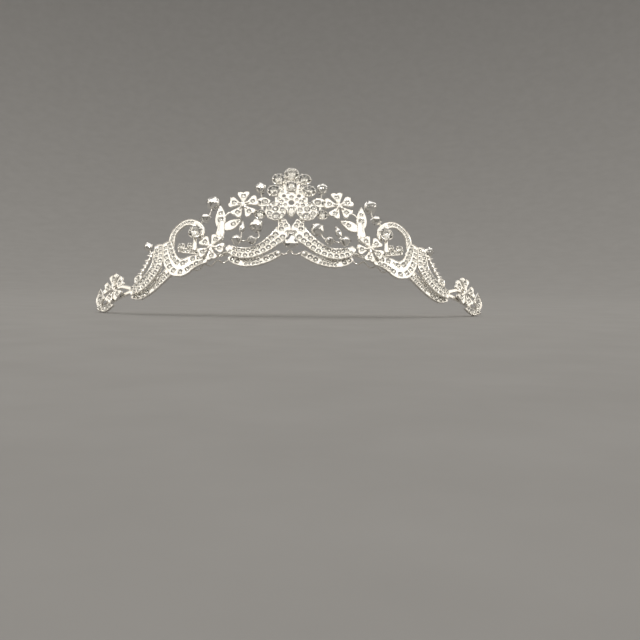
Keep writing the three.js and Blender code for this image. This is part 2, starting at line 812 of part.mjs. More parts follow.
function endFlowerGeometry(flower) {
  const placed = flowerGeometry(flower).applyMatrix4(wallMatrix(...flower.at, 0));
  return joined(placed, ribbonGeometry(endFlowerNeck, layers[flower.layer], 6));
}

function addHalf(side, label) {
  const half = new THREE.Group();
  half.name = `${label}_half`;
  half.scale.x = side;
  worn.add(half);
  const add = (name, geometry, material = rhodium) => addMesh(half, `${name}_${label}`, geometry, material);
  const halfBeads = beads.map((bead) => onHalf(bead, label));
  const pins = Object.fromEntries(halfBeads.map((bead) => [bead.name, pinGeometry(bead)]));

  add('pin_loops', wireGeometry(pinWave.path, pinWave.out, pinWave.radius, 18), rhodiumWire);
  add('centre_ribbon', ribbonGeometry(centreRibbon, layers.middle, 22, { least: jointGap / 2 }));
  add('centre_strand', ribbonGeometry(centreStrand, layers.lower, 14));
  add('side_ribbon', ribbonGeometry(sideRibbon, layers.middle, 16, { most: sideJoint - jointGap / 2 }));
  add('outer_ribbon', ribbonGeometry(outerRibbon, layers.middle, 14, { least: sideJoint + jointGap / 2 }));
  add('outer_strand', ribbonGeometry(outerStrand, layers.lower, 12));
  add('shelf_strand', shelfStrandGeometry());
  add('scroll_arch', scrollArchGeometry(pins));
  add('leaf_spray', leafSprayGeometry());
  add('leaf_link', leafLinkGeometry(pins));
  add('thorn_twig', thornTwigGeometry(pins));
  add('end_leaf_pair', endLeafPairGeometry());
  add('sprig_wire', sprigWireGeometry(pins), rhodiumWire);

  for (const flower of flowers.map((each) => onHalf(each, label))) {
    if (flower.name === 'end_flower') {
      add(flower.name, endFlowerGeometry(flower));
    } else {
      placeOnWall(add(flower.name, flowerGeometry(flower)), ...flower.at, 0);
    }
  }

  const disc = discGeometry(clusterDisc.radius, layers.upper[1] - layers.upper[0], 16);
  const discOut = (layers.upper[0] + layers.upper[1]) / 2;
  placeOnWall(add('cluster_disc', disc), ...clusterDisc.at, discOut);

  for (const stone of rosette.stones.slice(1)) {
    addStone(half, `rosette_stone_${stone.name}_${label}`, stone.at, stone.radius);
  }
  addStone(half, `arch_stone_${label}`, archStone.at, archStone.radius);

  for (const bead of halfBeads) {
    const { centre, direction } = beadAxis(bead);
    const mesh = add(bead.name, beadGeometry(bead.radius, bead.height), crystal);
    mesh.position.copy(centre);
    mesh.quaternion.setFromUnitVectors(new THREE.Vector3(0, 1, 0), direction);
  }
}

addHalf(1, 'right');
addHalf(-1, 'left');

export default tiara;
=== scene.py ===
"""Looks for the bridal tiara: cast rhodium ribbons set with foiled stones, petals, leaves, beads and a drop.

Every ornament is laid out on the tiara's wall, a surface that rises from an arc and flares forward, and the
whole wall is tilted back as it is worn. Lengths are in millimetres in wall coordinates and in metres in the
finished meshes. Radii of wires and grains are in millimetres everywhere.
"""

import json
import math
import random

import bmesh
import bpy
from mathutils import Matrix, Vector
from mathutils.geometry import delaunay_2d_cdt


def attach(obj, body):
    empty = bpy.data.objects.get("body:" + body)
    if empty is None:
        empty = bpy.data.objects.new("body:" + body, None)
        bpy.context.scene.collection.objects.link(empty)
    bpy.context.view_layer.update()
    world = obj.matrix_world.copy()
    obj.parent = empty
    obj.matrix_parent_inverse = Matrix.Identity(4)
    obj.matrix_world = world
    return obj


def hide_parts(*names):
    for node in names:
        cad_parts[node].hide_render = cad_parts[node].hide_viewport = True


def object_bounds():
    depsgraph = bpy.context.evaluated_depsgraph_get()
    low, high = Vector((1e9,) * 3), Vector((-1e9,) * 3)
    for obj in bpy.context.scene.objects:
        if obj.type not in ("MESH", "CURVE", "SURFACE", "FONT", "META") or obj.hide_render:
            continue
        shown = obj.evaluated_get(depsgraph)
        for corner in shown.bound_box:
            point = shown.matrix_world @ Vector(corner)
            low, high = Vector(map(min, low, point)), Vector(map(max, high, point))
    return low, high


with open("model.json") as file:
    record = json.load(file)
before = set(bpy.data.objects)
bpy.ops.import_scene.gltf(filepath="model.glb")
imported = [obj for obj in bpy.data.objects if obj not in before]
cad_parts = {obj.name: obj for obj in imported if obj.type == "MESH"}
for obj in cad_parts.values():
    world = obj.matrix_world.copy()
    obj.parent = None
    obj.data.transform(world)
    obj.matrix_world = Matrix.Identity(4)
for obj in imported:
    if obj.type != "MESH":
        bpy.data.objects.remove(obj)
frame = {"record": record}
cad_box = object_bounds()

# ---------- dimensions, mm and degrees

MM = 0.001
UP = Vector((0, 0, 1))
ARC_RADIUS = 103.0
WALL_FLARE = math.radians(10)
WORN_TILT = math.radians(36)

# Layers: how far the back and the front of a plate stand out from the wall.
BAND_LAYER = (-1.2, -0.1)
LOWER = (0.1, 1.3)
MIDDLE = (1.5, 2.7)
UPPER = (2.9, 3.9)
ENDS = (0.8, 1.8)

BAND_PATH = [(0, 10.9), (2.2, 10.3), (4.5, 8.8), (7, 7.2), (10, 5.6), (13.5, 4.6), (17.5, 4.4), (21, 4.9),
             (25, 5.2), (29, 4.6), (33, 3.4), (37.5, 2.5), (42, 1.7), (46, 1.2), (50, 0.6), (54, 0.9),
             (58, 1), (62, 0.3), (66, 0.2), (70, 0.4), (76, 0.8)]
BAND_HEIGHT = 1.5
BAND_ROUNDING = 0.22
BAND_END_LENGTH = 9.0
EYE_RADIUS = 1.75
EYE_BORE = 0.8

PIN_WAVE = [(23, 3.6), (26, 1.9), (28.6, 3.4), (31.2, 1.4), (33.8, 2.6), (36.6, 0.7), (39.4, 2.4)]
PIN_WAVE_OUT = -1.66
PIN_WAVE_RADIUS = 0.34
BRIDGE_PATH = [(-3.3, 2.8), (-2.1, 2.5), (-1, 3.5), (-0.2, 4.2), (0.6, 3), (1.7, 2.4), (3.3, 3.1)]
BRIDGE_RADIUS = 0.48

CENTRE_RIBBON = {
    "path": [(3.3, 15.8), (2.8, 13.8), (2.5, 11.6), (4.5, 9.3), (6.6, 7.4), (9, 5.4), (12, 3.7), (15, 2.9),
             (18, 3.1), (21, 4.2), (23.2, 6)],
    "widths": [3.2, 4.2, 6, 5.8, 5.2, 5, 4.8, 4.7, 4.6, 4, 2.6],
}
CENTRE_STRAND = {
    "path": [(4.6, 2.8), (7.5, 1.2), (10.4, 0.1), (14, -0.6), (17.5, -0.4), (20.7, 0.8), (22.8, 2.4)],
    "widths": [2.8, 3.1, 3.3, 3.3, 3.3, 3.1, 2.4],
}
SIDE_RIBBON = {
    "path": [(47.6, 13.4), (47.1, 9.4), (46, 5.2), (43.8, 2.1), (41, 1.2), (38, 2.2), (34.6, 2.7),
             (31.6, 2.4)],
    "widths": [3.6, 5.2, 6.4, 7.4, 7.6, 6.4, 5, 3.4],
}
OUTER_RIBBON = {
    "path": [(51.3, 13.4), (51.6, 9.4), (52.3, 5.7), (54.4, 2.7), (57.2, 0.5), (60.6, -1), (64.8, -1.6)],
    "widths": [3.6, 4.8, 5.2, 5.2, 5.2, 5, 3.8],
}
OUTER_STRAND = {
    "path": [(48.2, 1.6), (51.2, -0.4), (54.6, -2.7), (58.2, -4.1), (61.9, -4.4), (65.6, -2.9)],
    "widths": [4.4, 4.2, 3.4, 3, 3, 2.4],
}
SHELF_STRAND = {"path": [(43.2, 9.6), (40.4, 8.9), (37, 7.8), (33.6, 6.4)], "widths": [1.8, 2.6, 2.8, 2.4]}
SCROLL_ARCH = {
    "path": [(46.4, 11.6), (46.4, 14), (45.8, 16.8), (44, 19.3), (41.2, 20.9), (38.8, 21), (36.4, 19.8),
             (34.6, 17.6), (33.9, 15), (34.2, 12.4)],
    "widths": [2.2, 2.5, 2.6, 2.7, 2.7, 2.7, 2.8, 3.2, 2.8, 1.4],
}
ONE_ROW_BELOW = 3.3
JOINT_GAP = 0.24
SIDE_JOINT = 49.4

ARCH_STONE = {"at": (35.6, 14.9), "radius": 2.4, "stem": [(36.3, 13.8), (36.4, 10.8), (36.6, 8.2)]}
SHELF_STONES = [(42.2, 10.9, 1.25), (38.6, 10.5, 0.85)]

ROSETTE_CENTRE = ((0, 30.8), 1.9)
ROSETTE_STONES = {"top": ((0, 36.3), 2.35), "upper": ((4.6, 33.9), 2.15), "lower": ((6.3, 28.8), 2.15)}
SPINE_OUTLINE = [(0, 17.3), (1.3, 18.6), (2.2, 21), (5.4, 22.4), (6, 25.4), (5.4, 28.6), (3.9, 32), (2, 34),
                 (0, 34.6)]
SPINE_PIERCINGS = [(0, 23.8, 1.1), (2.7, 26.8, 0.75), (-2.7, 26.8, 0.75)]
SPINE_STONES = [(0, 26.3, 0.75), (1.95, 25.2, 0.62), (3.6, 24.4, 0.8), (2.2, 22.9, 0.65), (0.95, 21.5, 0.5),
                (1.2, 28.0, 0.45), (4.55, 25.6, 0.55), (4.6, 23.6, 0.45), (3.6, 22.5, 0.5),
                (1.7, 33.6, 0.48), (3.6, 31.05, 0.6), (3.3, 28.6, 0.5)]
KEYSTONE = {"at": (0, 19.4), "half_width": 1.3, "half_height": 2.2}

DISC = {"at": (5.6, 19.4), "radius": 4.1, "lobes": 9}
DISC_STONES = [(0.1, 1.05, 1.2), (-0.2, -2.15, 1.6), (2.35, -0.8, 1.0), (2.45, 1.6, 1.0), (0.8, 3.1, 0.65),
               (-1.6, 2.6, 0.85), (-2.65, 0.6, 1.0), (-2.5, -1.55, 0.75), (2.05, -2.6, 0.6)]

FLOWERS = {
    "upper_flower": {"at": (17.4, 23.9), "layer": MIDDLE, "first": 103, "petal": 5.8},
    "base_flower": {"at": (29.3, 6.6), "layer": UPPER, "first": 50, "petal": 5.4},
    "end_flower": {"at": (76.5, 5), "layer": LOWER, "first": 95, "petal": 6},
}
PETAL_COUNT = 5
PETAL_HALF = [(0.2, 0.1), (0.34, 0.17), (0.5, 0.25), (0.64, 0.34), (0.78, 0.405), (0.9, 0.39), (0.985, 0.3),
              (1.0, 0.17), (0.965, 0.06), (0.93, 0.0)]
PETAL_STONE = (0.66, 0.92)
HUB_RADIUS = 1.3
END_NECK = {"path": [(64.8, -0.4), (67.8, 1.5), (71, 3.4), (73.2, 4.2)], "widths": [1.8, 1.5, 1.4, 2]}

LEAF_LINK = {
    "at": (10.8, 25.1), "length": 6.8, "width": 4.4, "turn": -8, "stones": ((0.34, 1.25), (0.68, 1.25)),
    "link": [(10.8, 25.1), (10.7, 22.6), (11.0, 20.6)], "cup_at": (11.4, 19.7), "cup": 2.15,
}
# A leaf's base, tip, width and stones. Each stone has a share of the leaf's length and its largest radius.
LEAF_SPRAY = {
    "leaf": ((26.5, 14.4), (26.2, 25.6), 4.2, ((0.45, 1.2), (0.7, 0.8))),
    "branch": ((25.8, 14.8), (18, 18.2), 4.4, ((0.55, 0.95), (0.79, 0.6))),
    "stem": [(26.8, 11.3), (26.4, 14), (26, 17.4)],
    "stem_width": 3.8,
    "cup": 1.9,
    "tendril": [(24.7, 20.2), (23.4, 21.3), (22, 21.6), (20.9, 21)],
}
END_LEAVES = [((85.4, 0.2), (84.2, 8.2), 5.2), ((85, -1.2), (75.8, -3), 3.4)]
END_LEAF_STONES = ((0.42, 1.2), (0.68, 0.85), (0.22, 0.6))
END_CUP = ((85, -0.4), 1.2)
THORN_TWIG = {
    "path": [(55.4, 12.4), (56.5, 10.5), (58, 8.5), (59.8, 6.4), (61.4, 4.8), (61.3, 3.2), (60.6, 1.6)],
    "thorns": [(56, 11.4, 58, 12.4), (57.2, 9.6, 59.2, 10.6), (58.4, 8, 60.4, 8.9), (59.6, 6.6, 61.7, 7.4),
               (60.8, 5.4, 63, 6)],
    "leaf": ((61.6, 5), (64.4, 2.2), 3.2, ((0.48, 1.0), (0.76, 0.6))),
    "bead_link": [(55.4, 12.4), (55.8, 12.1), (56.3, 12.5)],
}

WIRE_OUT = 0.7
SPRIG_OUT = 2.1
STEM_RADIUS = 0.34
PIN_STEM_RADIUS = 0.3
PIN_CORE_RADIUS = 0.26
PIN_HEAD_RADIUS = 0.52
TWIST_PITCH = 1.5
BEADS = {
    "top_bead": {"at": (11.3, 31.4), "foot": (10.8, 25.4), "out": WIRE_OUT, "radius": 2.3, "height": 4},
    "sprig_bead": {"at": (9.6, 12.5), "foot": (11.6, 9.8), "out": SPRIG_OUT, "radius": 2.8, "height": 4.6},
    "oval_bead": {"at": (17.4, 12.2), "foot": (18.3, 9.9), "out": SPRIG_OUT, "radius": 1.25, "height": 3.8},
    "rondelle_bead": {"at": (29.8, 26.4), "foot": (30.6, 22.6), "out": WIRE_OUT, "radius": 2.85,
                      "height": 4.6},
    "twig_bead": {"at": (56.1, 14.6), "foot": (56.2, 12.2), "out": WIRE_OUT, "radius": 1.85, "height": 3.2},
}
BEAD_BORE = 0.44
BEAD_SIDES = 9
COATED_SHARE = 0.68
# Wires are bent and flowers are turned by hand, so these pieces sit differently on the left half.
LEFT_HALF = {
    "upper_flower": {"first": 91},
    "sprig_bead": {"at": (12.7, 14.3)},
    "oval_bead": {"at": (17.9, 13.8)},
    "rondelle_bead": {"at": (29.2, 27.1)},
    "twig_bead": {"at": (57.2, 15.8)},
}
SPRIG = {
    "stems": {
        "sprig_bead": [(13.9, 7.2), (12.4, 8.3), (11.6, 9.8)],
        "oval_bead": [(19.5, 7.8), (18.7, 8.7), (18.3, 9.9)],
    },
    "rail": [(13.9, 7.2), (16.8, 6.9), (19.5, 7.8)],
    "rail_radius": 0.36,
    "ends": [(13.9, 7.2, 2), (19.5, 7.8, 2.25)],
    "out": 4.2,
}
RONDELLE_WIRE = {"path": [(35.2, 19.2), (32.8, 20.4), (30.6, 22.6)], "bicone": (32.3, 21.2, 2.25)}

DROP = {
    "pivot": (0, 9.4), "pivot_out": 6.6, "pin_half": 1.3, "pin_radius": 0.28, "ring_bore": 0.42,
    "ring_radius": 0.85, "cap_top": 0.7, "crystal_top": 1.35, "height": 5.2, "radius": 3.3, "sides": 10,
}

# Camera: where it stands and where it looks, in the row frame.
CAMERA_AT = Vector((0.315, -320.78, -5.35)) * MM
CAMERA_AZIMUTH = math.radians(-1.944)
CAMERA_ELEVATION = math.radians(2.977)
CAMERA_ROLL = math.radians(0.643)
CAMERA_LENS = 47.98

# Each half's name and the seed of its random draws.
SEEDS = {"right": 11, "left": 23}
COLLAR_CROWN = 0.36
SEAT_SIDES, PIERCING_SIDES, DIMPLE_SIDES, COLLAR_SIDES = 16, 20, 12, 32
# Places in the list of materials of a metal piece and of a stone. The third metal place holds darker metal,
# painted shade for the hollows at the back.
METAL, FOIL, PAINTED_SHADE = 0, 1, 2
CUT, MIRRORED, BEAD = 0, 1, 2

# ---------- camera


def make_camera():
    data = bpy.data.cameras.new("camera")
    data.lens, data.sensor_width = CAMERA_LENS, 36
    data.clip_start, data.clip_end = 0.01, 20
    camera = bpy.data.objects.new("camera", data)
    turn = Matrix.Rotation(CAMERA_AZIMUTH, 4, "Z")
    tilt = Matrix.Rotation(math.pi / 2 - CAMERA_ELEVATION, 4, "X")
    roll = Matrix.Rotation(CAMERA_ROLL, 4, "Z")
    camera.matrix_world = Matrix.Translation(CAMERA_AT) @ turn @ tilt @ roll
    bpy.context.scene.collection.objects.link(camera)
    bpy.context.scene.camera = camera


make_camera()

# ---------- materials


def new_material(name):
    material = bpy.data.materials.new(name)
    material.use_nodes = True
    nodes = material.node_tree.nodes
    nodes.clear()
    output = nodes.new("ShaderNodeOutputMaterial")
    shader = nodes.new("ShaderNodeBsdfPrincipled")
    material.node_tree.links.new(shader.outputs["BSDF"], output.inputs["Surface"])
    return material, nodes, material.node_tree.links, shader


def noise_node(nodes, links, scale, detail, stretch=None):
    coordinates = nodes.new("ShaderNodeTexCoord")
    texture = nodes.new("ShaderNodeTexNoise")
    texture.inputs["Scale"].default_value = scale
    texture.inputs["Detail"].default_value = detail
    source = coordinates.outputs["Object"]
    if stretch:
        mapping = nodes.new("ShaderNodeMapping")
        mapping.inputs["Scale"].default_value = stretch
        links.new(source, mapping.inputs["Vector"])
        source = mapping.outputs["Vector"]
    links.new(source, texture.inputs["Vector"])
    return texture


def ramp_node(nodes, links, source, stops):
    ramp = nodes.new("ShaderNodeValToRGB")
    elements = ramp.color_ramp.elements
    while len(elements) < len(stops):
        elements.new(0.5)
    for element, (place, colour) in zip(elements, stops):
        element.position = place
        element.color = (*colour, 1)
    links.new(source, ramp.inputs["Fac"])
    return ramp


def range_node(nodes, links, source, low, high):
    spread = nodes.new("ShaderNodeMapRange")
    spread.inputs["From Min"].default_value = 0.3
    spread.inputs["From Max"].default_value = 0.7
    spread.inputs["To Min"].default_value = low
    spread.inputs["To Max"].default_value = high
    links.new(source, spread.inputs["Value"])
    return spread


def vary(nodes, links, shader, tone, stops, gloss, roughness):
    """Gives a shader an uneven colour and roughness from two noises."""
    colours = ramp_node(nodes, links, tone.outputs["Fac"], stops)
    links.new(colours.outputs["Color"], shader.inputs["Base Color"])
    rough = range_node(nodes, links, gloss.outputs["Fac"], *roughness)
    links.new(rough.outputs["Result"], shader.inputs["Roughness"])


def metal_material(name, pale, deep, roughness, bump, scale, stretch=None):
    """Polished plated metal: patchy tone, worn gloss and the slight ripple of a casting or a drawn wire."""
    material, nodes, links, shader = new_material(name)
    shader.inputs["Metallic"].default_value = 1.0
    tone = noise_node(nodes, links, scale * 0.35, 4.0)
    gloss = noise_node(nodes, links, scale, 5.0, stretch)
    vary(nodes, links, shader, tone, [(0.32, deep), (0.55, pale)], gloss, roughness)
    ripple = noise_node(nodes, links, scale * 1.3, 2.0, stretch)
    relief = nodes.new("ShaderNodeBump")
    relief.inputs["Strength"].default_value = 0.6
    relief.inputs["Distance"].default_value = bump
    links.new(ripple.outputs["Fac"], relief.inputs["Height"])
    links.new(relief.outputs["Normal"], shader.inputs["Normal"])
    return material


def glass_material(name, tint, edge, roughness, scale, clarity=1.0, ior=1.58):
    """Cut crystal with a faint uneven tint and the light smearing of a handled stone."""
    material, nodes, links, shader = new_material(name)
    shader.inputs["Transmission Weight"].default_value = clarity
    shader.inputs["IOR"].default_value = ior
    tone = noise_node(nodes, links, scale, 2.0)
    smear = noise_node(nodes, links, scale * 2.5, 4.0)
    vary(nodes, links, shader, tone, [(0.35, tint), (0.7, edge)], smear, roughness)
    return material


def floor_material():
    """Pale matt paper with a faint fibre."""
    material, nodes, links, shader = new_material("pale_floor")
    fibre = noise_node(nodes, links, 60, 5.0)
    stops = [(0.3, (0.53, 0.515, 0.495)), (0.7, (0.56, 0.545, 0.525))]
    colours = ramp_node(nodes, links, fibre.outputs["Fac"], stops)
    links.new(colours.outputs["Color"], shader.inputs["Base Color"])
    shader.inputs["Roughness"].default_value = 1.0
    shader.inputs["Specular IOR Level"].default_value = 0.0
    return material


RHODIUM = metal_material(
    "rhodium_casting", (0.95, 0.93, 0.885), (0.84, 0.81, 0.755), (0.16, 0.32), 0.00006, 900)
# Much darker, rougher metal: painted shade for the dimples and collar bottoms at the back of the plates.
RHODIUM_PAINTED_SHADE = metal_material(
    "rhodium_painted_shade", (0.50, 0.48, 0.45), (0.30, 0.285, 0.265), (0.3, 0.5), 0.00012, 1400)
WIRE = metal_material(
    "rhodium_wire", (0.94, 0.92, 0.88), (0.80, 0.77, 0.73), (0.08, 0.2), 0.00003, 700, (1, 1, 0.15))
FOIL_BACK = metal_material(
    "stone_foil", (0.97, 0.955, 0.92), (0.86, 0.845, 0.81), (0.1, 0.2), 0.00001, 500)
CRYSTAL = glass_material(
    "cut_crystal", (1.0, 0.995, 0.975), (0.96, 0.955, 0.93), (0.0, 0.03), 500, clarity=0.85)
BEAD_CRYSTAL = glass_material(
    "bead_crystal", (0.97, 0.955, 0.915), (0.9, 0.885, 0.84), (0.0, 0.04), 350, clarity=0.7, ior=1.8)
MATERIALS = {
    "rhodium_casting": [RHODIUM, FOIL_BACK, RHODIUM_PAINTED_SHADE],
    "rhodium_wire": [WIRE, FOIL_BACK, RHODIUM_PAINTED_SHADE],
    "crystal": [CRYSTAL, FOIL_BACK, BEAD_CRYSTAL],
}

# ---------- the wall


def worn(point):
    """Tilts a standing point back by the worn tilt and turns millimetres into metres."""
    cos, sin = math.cos(WORN_TILT), math.sin(WORN_TILT)
    return Vector((point.x, point.y * cos + point.z * sin, -point.y * sin + point.z * cos)) * MM


def wall_axes(s):
    angle = s / ARC_RADIUS
    along = Vector((math.cos(angle), math.sin(angle), 0))
    outwards = Vector((math.sin(angle), -math.cos(angle), 0))
    up = outwards * math.sin(WALL_FLARE) + Vector((0, 0, math.cos(WALL_FLARE)))
    out = outwards * math.cos(WALL_FLARE) - Vector((0, 0, math.sin(WALL_FLARE)))
    return along, up, out


def standing(s, h, o):
    angle = s / ARC_RADIUS
    _, up, out = wall_axes(s)
    return Vector((ARC_RADIUS * math.sin(angle), ARC_RADIUS * (1 - math.cos(angle)), 0)) + up * h + out * o


def on_wall(s, h, o):
    return worn(standing(s, h, o))


def outward_at(s, h):
    return (on_wall(s, h, 1) - on_wall(s, h, 0)).normalized()


def flat_place(s, h):
    """A flat frame fixed to the wall at one spot: x along the arc, y up the wall, o out of it."""
    origin = standing(s, h, 0)
    along, up, out = wall_axes(s)

    def place(x, y, o):
        return worn(origin + along * x + up * y + out * o)

    return place


# ---------- loops and lines in wall coordinates


def polar(radius, angle):
    return Vector((radius * math.cos(angle), radius * math.sin(angle)))


def left_of(direction):
    return Vector((-direction.y, direction.x))


def circle(x, y, radius, sides, turn=0.0):
    return [Vector((x, y)) + polar(radius, turn + 2 * math.pi * i / sides) for i in range(sides)]


def catmull(points, steps, closed=False):
    """Points of a smooth curve through the given points."""
    points = [Vector(p) for p in points]
    count = len(points)
    result = []
    segments = count if closed else count - 1
    for i in range(segments):
        if closed:
            a, b, c, d = (points[(i + k) % count] for k in (-1, 0, 1, 2))
        else:
            b, c = points[i], points[i + 1]
            a = points[i - 1] if i > 0 else b * 2 - c
            d = points[i + 2] if i + 2 < count else c * 2 - b
        for step in range(steps):
            t = step / steps
            square, cube = 2 * a - 5 * b + 4 * c - d, 3 * b - a - 3 * c + d
            result.append(0.5 * (2 * b + (c - a) * t + square * t ** 2 + cube * t ** 3))
    if not closed:
        result.append(points[-1].copy())
    return result


def table_value(values, share):
    place = share * (len(values) - 1)
    low = min(int(place), len(values) - 2)
    return values[low] + (values[low + 1] - values[low]) * (place - low)


def run_lengths(line):
    """How far along a line each of its points lies."""
    lengths = [0.0]
    for a, b in zip(line, line[1:]):
        lengths.append(lengths[-1] + (b - a).length)
    return lengths


def resample(line, count):
    """Evenly spaced points along a line."""
    lengths = run_lengths(line)
    result, i = [], 0
    for k in range(count + 1):
        target = lengths[-1] * k / count
        while i < len(line) - 2 and lengths[i + 1] < target:
            i += 1
        span = lengths[i + 1] - lengths[i]
        result.append(line[i].lerp(line[i + 1], (target - lengths[i]) / span if span else 0))
    return result


def clean_loop(loop, least=0.04):
    """Drops points that sit on top of their neighbour."""
    kept = []
    for point in loop:
        if not kept or (point - kept[-1]).length > least:
            kept.append(point)
    while len(kept) > 3 and (kept[0] - kept[-1]).length <= least:
        kept.pop()
    return kept


def loop_area(loop):
    return 0.5 * sum(a.x * b.y - b.x * a.y for a, b in zip(loop, loop[1:] + loop[:1]))


def anticlockwise(loop):
    return loop if loop_area(loop) > 0 else list(reversed(loop))


def inset(loop, distance):
    """Moves an anticlockwise loop inwards."""
    moved = []
    for i, point in enumerate(loop):
        before = left_of((point - loop[i - 1]).normalized())
        after = left_of((loop[(i + 1) % len(loop)] - point).normalized())
        normal = before + after
        if normal.length < 1e-6:
            normal = after.copy()
        normal.normalize()
        moved.append(point + normal * distance / max(0.6, normal.dot(after)))
    return moved


def edge_distance(point, loop):
    """How far inside the loop the point lies; negative outside."""
    best = 1e9
    inside = False
    for a, b in zip(loop, loop[1:] + loop[:1]):
        span = b - a
        t = max(0.0, min(1.0, (point - a).dot(span) / max(span.length_squared, 1e-12)))
        best = min(best, (point - a - span * t).length)
        if (a.y > point.y) != (b.y > point.y):
            if point.x < (b.x - a.x) * (point.y - a.y) / (b.y - a.y) + a.x:
                inside = not inside
    return best if inside else -best


def fill(outer, holes, extra=()):
    """Triangles between an outer loop and its holes, with extra points inside."""
    points = list(outer)
    edges = [(i, (i + 1) % len(outer)) for i in range(len(outer))]
    for hole in holes:
        start = len(points)
        points.extend(hole)
        edges.extend((start + i, start + (i + 1) % len(hole)) for i in range(len(hole)))
    points.extend(extra)
    verts, _, faces, _, _, _ = delaunay_2d_cdt(points, edges, [], 1, 1e-5, True)
    kept = []
    for face in faces:
        middle = sum((verts[i] for i in face), Vector((0, 0))) / len(face)
        if any(edge_distance(middle, hole) > 0 for hole in holes):
            continue
        if edge_distance(middle, outer) < 0:
            continue
        corners = [verts[i] for i in face]
        kept.append(list(face) if loop_area(corners) > 0 else list(reversed(face)))
    return verts, kept


def grid_points(outer, holes, spacing):
    """Staggered points inside the outer loop, clear of its edge and of the holes."""
    left, low = min(p.x for p in outer), min(p.y for p in outer)
    right, high = max(p.x for p in outer), max(p.y for p in outer)
    kept = []
    for i in range(int((right - left) / spacing) + 1):
        for j in range(int((high - low) / spacing) + 1):
            point = Vector((left + (i + 0.5 * (j % 2)) * spacing, low + j * spacing))
            if edge_distance(point, outer) < spacing * 0.45:
                continue
            if all(edge_distance(point, hole) <= -spacing * 0.4 for hole in holes):
                kept.append(point)
    return kept


# ---------- mesh building


def ring_faces(size, count):
    """Quads between each ring of points and the next."""
    faces = []
    for ring in range(count - 1):
        for i in range(size):
            a, b = ring * size + i, ring * size + (i + 1) % size
            faces.append((a, b, b + size, a + size))
    return faces


def mirrored(points):
    return [Vector((-v.x, v.y, v.z)) for v in points]


class Build:
    """Collects the vertices and faces of one piece, in metres in the row frame."""

    def __init__(self, seed=1):
        self.verts = []
        self.faces = []
        self.mats = []
        self.flat = []
        self.random = random.Random(seed)

    def add(self, verts, faces, mat=METAL, flat=False):
        start = len(self.verts)
        self.verts.extend(verts)
        for face in faces:
            self.faces.append([start + i for i in face])
            self.mats.append(mat)
            self.flat.append(flat)

    def add_skin(self, rings, mat=METAL):
        """The surface through a row of equal rings, open at both ends."""
        self.add([v for ring in rings for v in ring], ring_faces(len(rings[0]), len(rings)), mat)

    def add_cap(self, ring):
        self.add(ring, [range(len(ring))])

    def add_solid(self, rings):
        """The surface through a row of equal rings, with a flat face at both ends."""
        self.add_skin(rings)
        self.add_cap(rings[0])
        self.add_cap(rings[-1])

    def add_cone(self, ring, tip, mat=METAL):
        size = len(ring)
        self.add([*ring, tip], [(i, (i + 1) % size, size) for i in range(size)], mat)

    def mirror(self):
        self.verts = mirrored(self.verts)


def lift(points, place, o):
    """Flat points put in place at one height out of the wall."""
    return [place(p.x, p.y, o) for p in points]


def grain(build, centre, radius, around, rows, squash=1.0, axis=UP):
    """A small round grain of metal, flattened or stretched along its axis."""
    turn = UP.rotation_difference(axis)
    rings = []
    for row in range(1, rows):
        tilt = math.pi * row / rows
        height = math.cos(tilt) * squash
        ring = circle(0, 0, math.sin(tilt), around)
        rings.append([centre + turn @ Vector((p.x, p.y, height)) * radius * MM for p in ring])
    pole = turn @ Vector((0, 0, squash)) * radius * MM
    build.add_skin(rings)
    build.add_cone(rings[0], centre + pole)
    build.add_cone(rings[-1], centre - pole)


def frames_along(points, side=None):
    """The point, direction and side at each point of a line. The side is carried along without a twist."""
    start = (points[1] - points[0]).normalized()
    side = side or (UP if abs(start.z) < 0.9 else Vector((1, 0, 0)))
    frames = []
    for i, point in enumerate(points):
        direction = (points[min(i + 1, len(points) - 1)] - points[max(i - 1, 0)]).normalized()
        side = (side - direction * side.dot(direction)).normalized()
        frames.append((point, direction, side))
    return frames


def tube(build, points, radii, sides=8, squash=1.0, up=None):
    """A smooth tube with round ends through points in metres, with one radius or one for each point."""
    if not isinstance(radii, (list, tuple)):
        radii = [radii] * len(points)
    stations = [(*spot, radius * MM) for spot, radius in zip(frames_along(points, up), radii)]

    def round_end(station, away):
        point, direction, side, radius = station
        return [(point + away * radius * share, direction, side, radius * shrink)
                for share, shrink in ((0.4, 0.92), (0.75, 0.66), (0.95, 0.3))]

    start = round_end(stations[0], (points[0] - points[1]).normalized())
    end = round_end(stations[-1], (points[-1] - points[-2]).normalized())
    rings = []
    for point, direction, side, radius in start[::-1] + stations + end:
        across = direction.cross(side)
        rings.append([point + side * p.y * squash + across * p.x for p in circle(0, 0, radius, sides)])
    build.add_solid(rings)


def wall_line(path, out, steps=6):
    """A smooth line along a path on the wall, at one height out of it or at one for each point."""
    outs = out if isinstance(out, (list, tuple)) else [out] * len(path)
    return [on_wall(*p) for p in catmull([(s, h, o) for (s, h), o in zip(path, outs)], steps)]


def twisted(build, points, radius):
    """Two fine wires twisted together along points in metres."""
    total = run_lengths(points)[-1] * 1000
    count = max(8, int(total / TWIST_PITCH * 9))
    frames = frames_along(resample(points, count))
    for phase in (0, math.pi):
        strand = []
        for i, (point, direction, side) in enumerate(frames):
            offset = polar(radius / 2 * MM, phase + 2 * math.pi * total * i / count / TWIST_PITCH)
            strand.append(point + side * offset.x + direction.cross(side) * offset.y)
        tube(build, strand, radius * 0.52, 6)


def torus_rings(at, around, sides):
    """Rings around a torus. The function gives the point at a turn around it and an angle around its tube."""
    turns, angles = ([2 * math.pi * i / count for i in range(count)] for count in (around, sides))
    rings = [[at(turn, angle) for angle in angles] for turn in turns]
    return rings + rings[:1]


